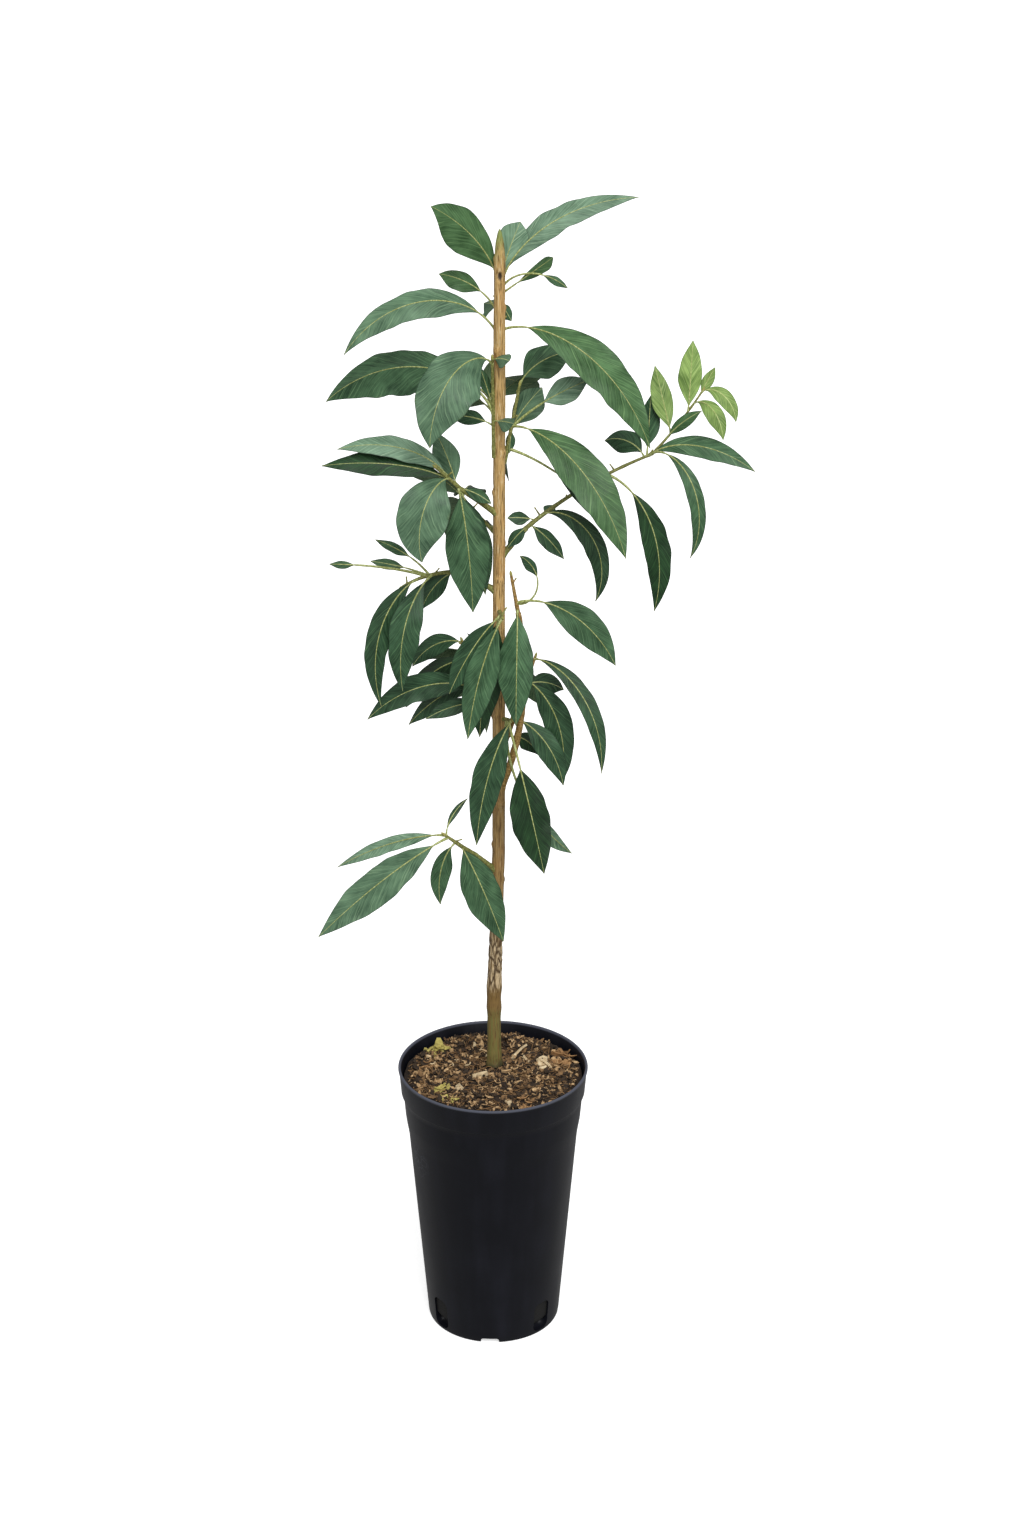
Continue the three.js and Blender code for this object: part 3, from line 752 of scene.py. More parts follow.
MASSES: tuple[Mass, ...] = (
    Mass(
        "foliage_crown_top", height=896, side=88, rise=89, length=88, seed=11,
        leaves=(
            Leaf(SUNLIT, 0.08, 192, 4, 128, 27, 176, 44, widest=0.36),
            Leaf(FRESH, 0.33, 336, -32, 156, 36, 106, 26),
            Leaf(FRESH, 0.38, 175, 40, 64, 20, 95, 33, widest=0.5), Leaf(SUNLIT, 0.55, 120, -5, 26, 25, 20, 6),
            Leaf(FRESH, 0.7, 206, 51, 95, 36, 64, 20, widest=0.52),
            Leaf(PALE_LIT, 0.7, 11, 32, 134, 23, 90, 22, widest=0.38),
            Leaf(FRESH, 0.66, 337, 37, 58, 13, 0, 20, widest=0.72),
            Leaf(MIDDLE, 0.66, 337, 11, 60, 9, 130, 48), Leaf(PALE_LIT, 0.8, 25, 68, 49, 25, 10, 6, widest=0.72),
            Leaf(SUNLIT, 0.9, 96, 2, 46, 22, 50, 10), Leaf(MIDDLE, 0.6, 25, -58, 20, 12, 10, 3),
        ),
    ),
    Mass(
        "foliage_right_spur", height=818, side=20, turn=38, rise=76, length=62, seed=23,
        leaves=(
            Leaf(FRESH, 0.45, 323, -38, 147, 36, 92, 18), Leaf(SUNLIT, 0.4, 22, 50, 43, 28, 30, 4, widest=0.6),
            Leaf(PALE_LIT, 0.42, 354, 34, 76, 23, 30, 36), Leaf(MIDDLE, 0.99, 20, 28, 53, 34, 80, 8),
            Leaf(DARK, 0.15, 345, -34, 120, 18, 40, 46), Leaf(MIDDLE, 0.45, 250, -75, 22, 9, 10, 4),
        ),
    ),
    Mass(
        "foliage_left_spur", height=824, side=212, rise=89, length=80, seed=31,
        leaves=(
            Leaf(DARK, 0.3, 157, 6, 40, 14, 40, 8), Leaf(SUNLIT, 0.35, 310, 8, 26, 16, 20, 6, widest=0.6),
            Leaf(MIDDLE, 0.42, 168, 1, 141, 44, 130, 36), Leaf(MIDDLE, 0.5, 160, 71, 34, 10, 0, 8),
            Leaf(SUNLIT, 0.95, 228, -36, 92, 50, 150, 8),
            Leaf(SUNLIT, 0.99, 310, 10, 22, 15, 40, 4, widest=0.6),
        ),
    ),
    Mass(
        "foliage_left_upper", bough="bough_left_upper", turn=197, rise=44, length=29, seed=47,
        leaves=(
            Leaf(DARK, 0.06, 20, -77, 98, 24, 20, 10), Leaf(MIDDLE, 0.12, 310, -80, 106, 37, 20, 8),
            Leaf(SUNLIT, 0.2, 140, 62, 46, 26, 20, 4), Leaf(SUNLIT, 0.5, 230, -62, 72, 44, 132, 4),
            Leaf(PALE_LIT, 0.5, 176, 14, 94, 20, 84, 6), Leaf(DEEP_SHADE, 0.45, 176, 5, 106, 22, 42, 6),
            Leaf(MIDDLE, 0.02, 350, -24, 28, 13, 40, 4),
        ),
    ),
    Mass(
        "foliage_right_long", bough="bough_right_long", turn=12, rise=28, length=121, bend=20, seed=53,
        shoot=Limb(7, 52, 66, -10, 1.2, 0.8),
        leaves=(
            Leaf(DARK, 0.08, 190, 8, 24, 13, 30, 5), Leaf(DARK, 0.02, 215, -35, 26, 13, 40, 3),
            Leaf(DARK, 0.03, 342, -42, 40, 15, 40, 3), Leaf(DARK, 0.1, 338, -52, 84, 20, 182, 10),
            Leaf(MIDDLE, 0.14, 57, 8, 20, 11, 10, 4), Leaf(DEEP_SHADE, 0.66, 344, -70, 124, 23, 96, 26),
            Leaf(DARK, 0.94, 139, 8, 43, 23, 100, 5), Leaf(DARK, 0.96, 80, 70, 50, 20, 10, 8),
            Leaf(MIDDLE, 0.98, 343, -4, 90, 20, 86, 6), Leaf(MIDDLE, 0.98, 315, -59, 92, 14, 178, 20),
            Leaf(FRESH, 1.25, 335, 42, 42, 11, 30, 5), Leaf(YOUNG, 1.35, 127, 67, 57, 18, 0, 5),
            Leaf(YOUNG, 1.7, 76, 76, 58, 20, 5, 5), Leaf(YOUNG, 1.8, 312, -32, 42, 16, 150, 6),
            Leaf(YOUNG, 1.94, 40, 51, 27, 12, 0, 4), Leaf(YOUNG, 1.98, 331, -32, 38, 14, 150, 5),
        ),
    ),
    Mass(
        "foliage_left_middle", bough="bough_left_middle", turn=185, rise=-14, length=48, bend=35, seed=61,
        leaves=(
            Leaf(DARK, 0.06, 180, -50, 44, 20, 60, 4), Leaf(DARK, 0.45, 226, -69, 101, 27, 90, 10),
            Leaf(MIDDLE, 0.5, 152, 24, 57, 11, 45, 24), Leaf(MIDDLE, 0.52, 172, 12, 50, 10, 20, 22),
            Leaf(MIDDLE, 0.55, 176, 6, 82, 8, 20, 62), Leaf(DARK, 0.72, 208, -72, 114, 25, 98, 6, widest=0.36),
        ),
    ),
    Mass(
        "foliage_front", height=688, side=275, turn=277, rise=6, length=22, seed=71,
        leaves=(
            Leaf(DEEP_SHADE, 0.35, 201, -80, 110, 34, 20, 10), Leaf(DARK, 0.55, 201, -54, 79, 28, 34, 8),
            Leaf(MIDDLE, 0.97, 213, -71, 107, 31, 30, 8),
        ),
    ),
    Mass(
        "foliage_right_side", bough="bough_right_side", turn=190, rise=80, length=34, seed=83, green=False,
        leaves=(
            Leaf(MIDDLE, 0.1, 268, -70, 98, 32, 60, 6), Leaf(MIDDLE, 0.25, 343, -28, 98, 32, 102, 25),
            Leaf(DARK, 0.25, 0, 86, 42, 11, -190, 36),
        ),
    ),
    Mass(
        "foliage_right_low", height=557, side=50, turn=16, rise=71, length=88, seed=97, green=False,
        leaves=(
            Leaf(DEEP_SHADE, 0.15, 18, -36, 34, 17, 90, 8), Leaf(DARK, 0.35, 342, -52, 72, 22, 80, 8),
            Leaf(DARK, 0.7, 20, -14, 36, 20, 70, 5), Leaf(DARK, 0.75, 354, -72, 98, 26, 76, 6, widest=0.34),
            Leaf(DARK, 0.98, 329, -54, 113, 16, 112, 4),
        ),
    ),
    Mass(
        "foliage_low_front", height=590, side=315, turn=300, rise=15, length=15, seed=101,
        leaves=(
            Leaf(SUNLIT, 0.4, 40, -63, 165, 16, -60, 100), Leaf(DEEP_SHADE, 0.5, 311, -69.5, 136, 36, 6, 44),
            Leaf(DARK, 0.95, 219, -70, 112, 29, 42, 4),
        ),
    ),
    Mass(
        "foliage_left_low", bough="bough_left_low", turn=201, rise=41, length=22, seed=113,
        leaves=(
            Leaf(MIDDLE, 0.1, 342, -66, 94, 36, 12, 4), Leaf(MIDDLE, 0.4, 178, -77, 61, 18, 60, 6),
            Leaf(SUNLIT, 0.8, 192, -36, 142, 35, 20, 15), Leaf(PALE_LIT, 0.97, 162, -24, 110, 16, 34, 10),
            Leaf(DARK, 0.9, 36, 53, 37, 6, 80, 8),
        ),
    ),
    Mass(
        "foliage_left_back", height=590, side=150, turn=157, rise=66, length=70, seed=127, green=False,
        leaves=(
            Leaf(DARK, 0.15, 189, -10, 55, 15, 60, 10), Leaf(DARK, 0.28, 184, -11, 102, 26, 100, 12),
            Leaf(DARK, 0.45, 169, -35, 76, 20, 50, 8), Leaf(DEEP_SHADE, 0.75, 158, -41, 80, 28, 70, 8),
            Leaf(DARK, 0.98, 165, -30, 52, 20, 90, 4),
        ),
    ),
    Mass(
        "foliage_back_high", height=838, side=BACK, turn=104, rise=30, length=56, seed=5, lit=BACK,
        leaves=(
            Leaf(MIDDLE, 0.45, 147, 14, 62, 30, 60, 10), Leaf(SUNLIT, 0.6, 33, 23, 71, 28, 50, 10),
            Leaf(SUNLIT, 0.8, 162, 8, 91, 32, 60, 12), Leaf(MIDDLE, 0.9, 103, -1, 63, 30, 60, 8),
            Leaf(MIDDLE, 0.98, 59, -20, 89, 32, 70, 12), Leaf(DARK, 0.3, 78, -52, 88, 30, 40, 12, 70),
            Leaf(SUNLIT, 0.7, 84, 30, 66, 26, 70, 10, -70), Leaf(MIDDLE, 0.98, 110, -14, 92, 32, 60, 12, 60),
        ),
    ),
    Mass(
        "foliage_back_middle", height=752, side=110, turn=128, rise=22, length=52, seed=9, lit=BACK,
        leaves=(
            Leaf(MIDDLE, 0.35, 140, -12, 63, 28, 60, 10), Leaf(DARK, 0.55, 98, -53, 90, 30, 50, 10),
            Leaf(MIDDLE, 0.75, 149, 19, 102, 32, 60, 14), Leaf(MIDDLE, 0.9, 111, -7, 87, 32, 60, 10),
            Leaf(DARK, 0.98, 82, -14, 84, 30, 60, 12), Leaf(MIDDLE, 0.2, 80, -34, 84, 28, 50, 12, 70),
            Leaf(DARK, 0.98, 100, -46, 92, 32, 60, 12, 70),
        ),
    ),
    Mass(
        "foliage_back_low", height=612, side=100, turn=112, rise=24, length=50, seed=14, lit=BACK,
        leaves=(
            Leaf(DARK, 0.4, 135, -35, 65, 28, 50, 10), Leaf(DARK, 0.6, 57, -34, 71, 28, 60, 10),
            Leaf(MIDDLE, 0.8, 156, -6, 76, 28, 60, 10), Leaf(DARK, 0.9, 98, -42, 84, 30, 60, 10),
            Leaf(DARK, 0.98, 32, -44, 102, 26, 60, 14), Leaf(MIDDLE, 0.3, 84, 24, 72, 28, 60, 10, 65),
            Leaf(DARK, 0.7, 88, -62, 94, 30, 30, 12, -70), Leaf(MIDDLE, 0.98, 90, -26, 90, 30, 60, 12, 70),
        ),
    ),
)


# ------------------------------------------------------------------ joined meshes


class JoinedForms:
    """Collects many small forms that become one piece."""

    def __init__(self) -> None:
        """Starts with nothing."""
        self.points: list[Sequence[float]] = []
        self.faces: list[tuple[int, ...]] = []
        self.slots: list[int] = []
        self.layers: dict[str, list[Any]] = defaultdict(list)

    def add(
        self, points: list, faces: Sequence[tuple[int, ...]], slots: list[int] | None = None,
        layers: dict[str, list] | None = None,
    ) -> None:
        """Adds one form.

        Args:
            points: Its vertices, in millimetres.
            faces: Its faces, as numbers of its own vertices.
            slots: For each face, which of the piece's materials it takes.
            layers: Values for its face corners by map, and for its vertices by attribute.
        """
        first = len(self.points)
        self.points += points
        self.faces += [tuple(first + i for i in face) for face in faces]
        self.slots += slots or [0] * len(faces)
        for name, values in (layers or {}).items():
            self.layers[name] += values

    def build(self, name: str, *materials: Material, smooth_angle: float = 50) -> Piece:
        """Makes the piece.

        Args:
            name: The piece's name.
            *materials: Its materials, in slot order.
            smooth_angle: The edges under this angle are smoothed.

        Returns:
            The new object.
        """
        mesh = bpy.data.meshes.new(name)
        mesh.from_pydata((np.array(self.points) * MM).tolist(), [], self.faces)
        for layer, values in self.layers.items():
            flat = np.array(values, np.float32).ravel()
            if layer in ATTRIBUTES:
                kind, value = ATTRIBUTES[layer]
                mesh.attributes.new(layer, kind, "POINT").data.foreach_set(value, flat)
            else:
                mesh.uv_layers.new(name=layer).uv.foreach_set("vector", flat)
        mesh.validate()
        piece = bpy.data.objects.new(name, mesh)
        bpy.context.scene.collection.objects.link(piece)
        dress(piece, smooth_angle, *materials)
        mesh.polygons.foreach_set("material_index", self.slots)
        return piece


class Frame(NamedTuple):
    """A place on a limb with two directions square to its heading."""

    point: Vector
    across: Vector
    over: Vector


def limb_frames(path: GrowthPath, shares: Sequence[float]) -> list[Frame]:
    """Finds frames along a path whose sides don't twist.

    Args:
        path: The path.
        shares: The shares of its length where they are.

    Returns:
        The frames, with their first directions level.
    """
    frames = []
    for share in shares:
        direction = path.smooth_heading(share)
        across = Vector((-direction.y, direction.x, 0.0))
        if across.length_squared < 1e-6:
            across = Vector((0.0, 1.0, 0.0))
        across.normalize()
        frames.append(Frame(path.at(share).point, across, direction.cross(across)))
    return frames


def tube_faces(count: int, sides: int) -> list[tuple[int, ...]]:
    """Lists the faces of a closed tube, ring by ring.

    Args:
        count: How many points it has.
        sides: How many of them make a ring.

    Returns:
        The faces.
    """
    edges = [(i, i + 1 - sides * (i % sides == sides - 1)) for i in range(count - sides)]
    ends = [tuple(range(sides))[::-1], tuple(range(count - sides, count))]
    return [(a, b, b + sides, a + sides) for a, b in edges] + ends


def tube(forms: JoinedForms, frames: Sequence[Frame], radii: Sequence[float | Pair], sides: int) -> None:
    """Adds a closed tube.

    Args:
        forms: What it is added to.
        frames: Its rings' middles and directions, from foot to tip.
        radii: Each ring's radius, or its radii across and over.
        sides: Corners to a ring.
    """
    rings = []
    for frame, radius in zip(frames, radii):
        wide, high = radius if isinstance(radius, tuple) else (radius, radius)
        for angle in (math.tau * j / sides for j in range(sides)):
            across, over = wide * math.cos(angle), high * math.sin(angle)
            rings.append((frame.point + frame.across * across + frame.over * over)[:])
    forms.add(rings, tube_faces(len(rings), sides))


# ------------------------------------------------------------------ leaves


class LeafLine(NamedTuple):
    """A leaf's path, the share of it that is stalk, its blade's length and fold, and how it was listed."""

    path: GrowthPath
    neck: float
    length: float
    fold: float
    row: Leaf
    lit: float


@dataclass
class LeafMaker:
    """Grows leaves by the solids' rule, with finer blades, swollen in soft irregular puckers and waved at the
    margin.
    """

    foot_taper: float = 0.92
    tip_taper: float = 1.2
    fold: Pair = (-8.0, -34.0)
    sway: Pair = (-6.0, 6.0)
    ease: float = 0.55
    light_rise: float = 38.0
    stalk: Pair = (1.25, 0.95)
    stalk_swell: float = 0.35
    rib: Pair = (0.66, 0.2)
    rib_end: float = 0.985
    rib_least: float = 0.45
    rib_full_span: float = 160.0
    thickness: float = 0.36
    least: Pair = (0.35, 0.75)
    step: float = 2.2
    columns: int = 6
    trough: float = 0.4
    swell: float = 0.9
    swell_size: float = 13.0
    wave: float = 0.035
    wave_count: Pair = (1.4, 2.6)
    wave_depth: Pair = (0.5, 1.4)
    lopsided: float = 0.1
    ragged: float = 0.1
    nick: float = 13.0
    lightness: Pair = (0.88, 1.1)
    grid: int = 14
    gutter: float = 0.04
    made: dict[Tone, int] = field(default_factory=lambda: defaultdict(int))

    def outline(self, share: float, widest: float) -> float:
        """Draws the blade's outline: a tapering foot and a drawn-out tip.

        Args:
            share: The share of the blade's length.
            widest: Where the blade is widest.

        Returns:
            Half the width there, as a share of the greatest.
        """
        if share < widest:
            return math.sin(math.pi / 2 * share / widest) ** self.foot_taper
        return math.cos(math.pi / 2 * ((share - widest) / (1 - widest)) ** self.tip_taper)

    def grow(
        self, start: Vector, row: Leaf, lit: float, draw: Draw, detail: Draw, blades: JoinedForms,
        ribs: JoinedForms,
    ) -> None:
        """Grows one leaf.

        Args:
            start: Where its stalk leaves the stem.
            row: The leaf's row.
            lit: The turn its face looks to.
            draw: The numbers shared with the solids' rule.
            detail: Numbers for what only the fine blade has.
            blades: Takes the blade.
            ribs: Takes the stalk and midrib.
        """
        fold = math.radians(between(self.fold, draw()))
        sweep = between(self.sway, draw())
        path = GrowthPath(start, row.turn, row.rise, row.span, row.droop, sweep, self.ease)
        leaf = LeafLine(path, row.petiole / path.length, path.length - row.petiole, fold, row, lit)
        self._blade(leaf, detail, blades)
        self._rib(leaf, ribs)

    def _frame(self, leaf: LeafLine, share: float) -> Frame:
        """Finds how a leaf faces at a place on its path.

        Args:
            leaf: The leaf.
            share: The place's share of the path's length.

        Returns:
            The place, with the leaf's sideways and upward directions.
        """
        direction = leaf.path.smooth_heading(share)
        light = heading(leaf.lit, self.light_rise)
        face = (light - direction * light.dot(direction)).normalized()
        face = Quaternion(direction, math.radians(leaf.row.roll)) @ face
        return Frame(leaf.path.at(share).point, face.cross(direction), face)

    def _blade(self, leaf: LeafLine, detail: Draw, blades: JoinedForms) -> None:
        """Adds the blade: an upper and a lower skin that meet at the margin.

        Args:
            leaf: The leaf.
            detail: The stream of numbers.
            blades: Takes the blade.
        """
        row, length = leaf.row, leaf.length
        rows = max(8, round(length / self.step))
        lightness, number = between(self.lightness, detail()), detail()
        phases = [math.tau * detail(), math.tau * detail()]
        waves = between(self.wave_count, detail())
        crimp = self.wave * row.width * between(self.wave_depth, detail())
        uneven = self.lopsided * between((-1.0, 1.0), detail())
        upper, lower, places, growth, margins = [], [], [], [], []
        for s in (i / rows for i in range(rows + 1)):
            middle, across, over = self._frame(leaf, leaf.neck + (1 - leaf.neck) * s)
            plain = max(self.outline(s, row.widest) * row.width / 2, between(self.least, 1 - s))
            bulge = math.sin(math.pi * s)
            for t in (-1 + j / self.columns for j in range(2 * self.columns + 1)):
                bare, hand = abs(t), math.copysign(1.0, t)
                edge = noise.noise(Vector((s * length / self.nick, hand * 5, number * 90)))
                half = plain * (1 + bulge * (hand * uneven + self.ragged * edge))
                out = half * t * math.cos(leaf.fold)
                lift = half * math.sin(leaf.fold) * bare * (1 + self.trough - self.trough * bare)
                ripple = crimp * bare**2 * math.sin(math.tau * waves * s + phases[hand > 0]) * bulge
                place = Vector((s * length, half * t, 0.0)) / self.swell_size
                pucker = noise.noise(place + Vector((0, 0, number * 70)))
                swollen = self.swell * pucker * min(1.0, 3 * bare) * bulge
                skin = over * (self.thickness * (1 - bare**3) / 2)
                base = middle + across * out + over * (lift + ripple + swollen)
                upper.append((base + skin)[:])
                lower.append((base - skin)[:])
                places.append((s * length / CM, half * t / CM))
                growth.append((lightness, s, number))
                margins.append(half * (1 - bare) / CM)
        self._weave(blades, row.tone, rows, [upper, places, growth, margins], lower)

    def _weave(self, blades: JoinedForms, tone: Tone, rows: int, upper: list[list], lower: list) -> None:
        """Joins the two skins' points into one closed blade, each skin with an island of its own.

        Args:
            blades: Takes the blade.
            tone: Its tone.
            rows: How many faces it is long.
            upper: The upper skin's points, their places on the blade, growth and margins.
            lower: The lower skin's points.
        """
        wide = 2 * self.columns + 1
        size = len(lower)
        inner = [k for k in range(size) if 0 < k % wide < wide - 1]
        under = dict(zip(inner, range(size, size + len(inner))))
        faces, slots, islands = [], [], []
        for skin in (0, 1):
            column, line = divmod(self.made[tone] + skin, self.grid)
            for i in range(rows):
                for j in range(wide - 1):
                    corners = [(i, j), (i + 1, j), (i + 1, j + 1), (i, j + 1)][:: -1 if skin else 1]
                    numbers = [a * wide + b for a, b in corners]
                    faces.append(tuple(under.get(k, k) if skin else k for k in numbers))
                    slots.append(skin)
                    for shares in ((b / (wide - 1), a / rows) for a, b in corners):
                        inset = [self.gutter + (1 - 2 * self.gutter) * share for share in shares]
                        islands.append(((inset[0] + line) / self.grid, (inset[1] + column) / self.grid))
        self.made[tone] += 2
        last = rows * wide
        foot = (*range(wide), *(under[j] for j in range(wide - 2, 0, -1)))
        tip = (*range(last + wide - 1, last - 1, -1), *(under[last + j] for j in range(1, wide - 1)))
        islands += [(0.5 / self.grid, 0.5 / self.grid)] * (len(foot) + len(tip))
        faces += [foot, tip]
        _, places, growth, margins = (values + [values[k] for k in inner] for values in upper)
        spots = [places[i] for face in faces for i in face]
        layers = {BLADE_MAP: spots, TOOL_MAP: islands, GROWTH: growth, MARGIN: margins}
        blades.add(upper[0] + [lower[k] for k in inner], faces, slots + [1, 1], layers)

    def _rib(self, leaf: LeafLine, ribs: JoinedForms) -> None:
        """Adds the stalk and the midrib that runs on from it to the blade's tip.

        Args:
            leaf: The leaf.
            ribs: Takes them.
        """
        scale = min(1.0, self.rib_least + leaf.row.span / self.rib_full_span)
        frames, radii = [], []
        steps = max(3, round(leaf.row.petiole / 4))
        for share in (i / steps for i in range(steps)):
            frames.append(self._frame(leaf, leaf.neck * share))
            radii.append((between(self.stalk, share) + self.stalk_swell * (1 - share) ** 4) * scale)
        steps = max(6, round(leaf.length / 6))
        for share in (i / steps for i in range(steps + 1)):
            frames.append(self._frame(leaf, leaf.neck + (1 - leaf.neck) * share * self.rib_end))
            radius = between(self.rib, share**0.8) * scale
            radii.append((radius, radius * 1.05))
        tube(ribs, frames, radii, 6)


# ------------------------------------------------------------------ limbs


@dataclass
class LimbMaker:
    """Builds the trunk and the boughs as bevelled curves turned to meshes, then presses their relief in.

    Fibres and plates are given by how close they lie round the trunk, how long they are, and how high the
    fibres stand or how sharply the plates are cracked apart. A scar is a bump with a dent above it.
    """

    trunk: TrunkShape
    step: float = 1.5
    trunk_sides: int = 28
    bough_sides: int = 16
    smooth_angle: float = 40.0
    core: float = 0.2
    graft: Pair = (358.0, 24.0)
    flare: float = 16.0
    lobes: Triple = (0.5, 5.0, 0.6)
    slimmer_foot: float = 0.9
    bark_swell: float = 0.35
    fibres: tuple[Triple, ...] = ((3.4, 26.0, 0.26), (9.0, 9.0, 0.12))
    plates: Triple = (2.6, 15.0, 4.5)
    plate_swell: float = 0.35
    scar_seed: int = 41
    scar_reach: float = 9.0
    scar_bump: Pair = (2.6, 0.95)
    scar_dent: Triple = (4.0, 2.2, 0.45)
    scars: Pair = (402.0, 990.0)
    scar_gap: Pair = (30.0, 46.0)
    scar_turn: float = 250.0
    knot_size: Pair = (3.0, 1.7)
    knot_rim: Triple = (0.5, 1.5, 3.0)
    knot_depth: float = 1.7
    soft_tip: float = 24.0
    collar: Pair = (1.2, 3.5)
    collar_start: float = 4.0
    wrinkle: Pair = (0.16, 3.2)
    node: Pair = (0.22, 4.6)

    def _curve(self, name: str, spots: Sequence[tuple[Vector, float]], sides: int) -> Piece:
        """Makes a round limb along a line of places.

        Args:
            name: The piece's name.
            spots: The line's points and radii, in millimetres.
            sides: Corners round the limb.

        Returns:
            The limb as a mesh object.
        """
        curve = bpy.data.curves.new(name, "CURVE")
        curve.dimensions = "3D"
        curve.twist_mode = "Z_UP" if name != "trunk_bark" else "MINIMUM"
        curve.bevel_depth = MM
        curve.bevel_resolution = (sides - 4) // 2
        curve.use_fill_caps = True
        spline = curve.splines.new("POLY")
        spline.points.add(len(spots) - 1)
        for knot, (point, radius) in zip(spline.points, spots):
            knot.co = (*(point * MM), 1.0)
            knot.radius = radius
        limb = bpy.data.objects.new(name, curve)
        bpy.context.scene.collection.objects.link(limb)
        select_only(limb)
        bpy.ops.object.convert(target="MESH")
        limb = bpy.context.view_layer.objects.active
        limb.name = name
        return limb

    def _press(
        self, limb: Piece, middle: Callable[[Vector], Vector], relief: Callable[[Vector, Vector], float]
    ) -> None:
        """Moves each vertex out from the limb's middle by the relief at its place.

        Args:
            limb: The limb.
            middle: Gives the limb's middle nearest a point, in millimetres.
            relief: Gives the height, in millimetres, at a point with its outward direction.
        """
        for vertex in limb.data.vertices:
            point = vertex.co / MM
            outward = point - middle(point)
            if outward.length > self.core:
                outward.normalize()
                vertex.co += outward * (relief(point, outward) * MM)

    def _trunk_relief(self, point: Vector, outward: Vector) -> float:
        """Shapes the bark: long fibres, cracked plates above the graft, scars and a knot.

        Args:
            point: A point on the trunk.
            outward: Its outward direction.

        Returns:
            How far the bark stands out there.
        """
        x, y, z = outward.x, outward.y, point.z
        height = 0.0
        for often, long, high in self.fibres:
            height += high * noise.noise(Vector((x * often, y * often, z / long)))
        cracked = math.exp(-(((z - self.graft[0]) / self.graft[1]) ** 4))
        often, long, sharp = self.plates
        near, far = noise.voronoi(Vector((x * often, y * often, z / long)))[0][:2]
        height -= cracked * max(0.0, 1 - (far - near) * sharp)
        height += cracked * self.plate_swell
        flare = max(0.0, 1 - (z - self.trunk.foot) / self.flare)
        high, count, shift = self.lobes
        lobes = high * math.cos(count * math.atan2(y, x) + shift)
        height += flare**2 * (lobes - self.slimmer_foot) + self.bark_swell
        for scar, turn in self._scars():
            facing = x * math.cos(turn) + y * math.sin(turn)
            if facing > 0 and abs(z - scar) < self.scar_reach:
                (wide, high), (above, narrow, deep) = self.scar_bump, self.scar_dent
                bump = math.exp(-(((z - scar) / wide) ** 2)) * facing**3
                dent = math.exp(-(((z - scar - above) / narrow) ** 2)) * facing**4
                height += high * bump - deep * dent
        if y < 0:
            tall, wide = self.knot_size
            middle = math.hypot((z - KNOT_HEIGHT) / tall, x * self.trunk.radius(z) / wide)
            high, out, sharp = self.knot_rim
            rim = high * math.exp(-((middle - out) ** 2) * sharp)
            height += rim - self.knot_depth * math.exp(-(middle**2))
        return height * min(1.0, max(0.0, (self.trunk.top - z) / self.soft_tip))

    def _scars(self) -> Iterator[Pair]:
        """Yields the height and turn of each old leaf's scar, round the trunk by the golden angle."""
        draw, (z, last), number = seeded(self.scar_seed), self.scars, 0
        while z < last:
            yield z, math.radians(self.scar_turn + GOLDEN_ANGLE * number)
            z += between(self.scar_gap, draw())
            number += 1

    def build_trunk(self, material: Material) -> Piece:
        """Builds the trunk with its bark's relief.

        Args:
            material: Its bark.

        Returns:
            The trunk.
        """
        shape = self.trunk
        steps = round((shape.top - shape.foot) / self.step)
        heights = [between((shape.foot, shape.top), i / steps) for i in range(steps + 1)]
        limb = self._curve("trunk_bark", [(shape.axis(z), shape.radius(z)) for z in heights], self.trunk_sides)
        self._press(limb, lambda point: shape.axis(point.z), self._trunk_relief)
        return dress(limb, self.smooth_angle, material)

    def bough_path(self, row: Limb) -> GrowthPath:
        """Returns the path of a bough from the trunk's axis."""
        return GrowthPath(self.trunk.axis(row.height), row.turn, row.rise, row.length, row.bend)

    def build_bough(self, name: str, row: Limb, material: Material) -> Piece:
        """Builds one bough with a collar at the trunk, shallow wrinkles and swollen nodes.

        Args:
            name: The bough's node name.
            row: Its row.
            material: Its bark.

        Returns:
            The bough.
        """
        path = self.bough_path(row)
        steps = round(path.length / self.step)
        spots = []
        for share in (i / steps for i in range(steps + 1)):
            from_trunk = max(0.0, share * path.length - self.collar_start)
            swelling = self.collar[0] * math.exp(-from_trunk / self.collar[1])
            spots.append((path.at(share).point, between((row.foot, row.tip), share) + swelling))
        middles = np.array([point[:] for point, _ in spots])

        def middle(point: Vector) -> Vector:
            """Returns the nearest place on the bough's line."""
            return Vector(middles[np.argmin(((middles - np.array(point)) ** 2).sum(1))])

        def relief(point: Vector, outward: Vector) -> float:
            """Returns shallow wrinkles and swollen nodes."""
            (fold, size), (swelling, gap) = self.wrinkle, self.node
            return fold * noise.noise(point / size) + swelling * math.sin(point.z / gap + outward.x) ** 8

        limb = self._curve(name + "_bark", spots, self.bough_sides)
        self._press(limb, middle, relief)
        return dress(limb, self.smooth_angle, material)


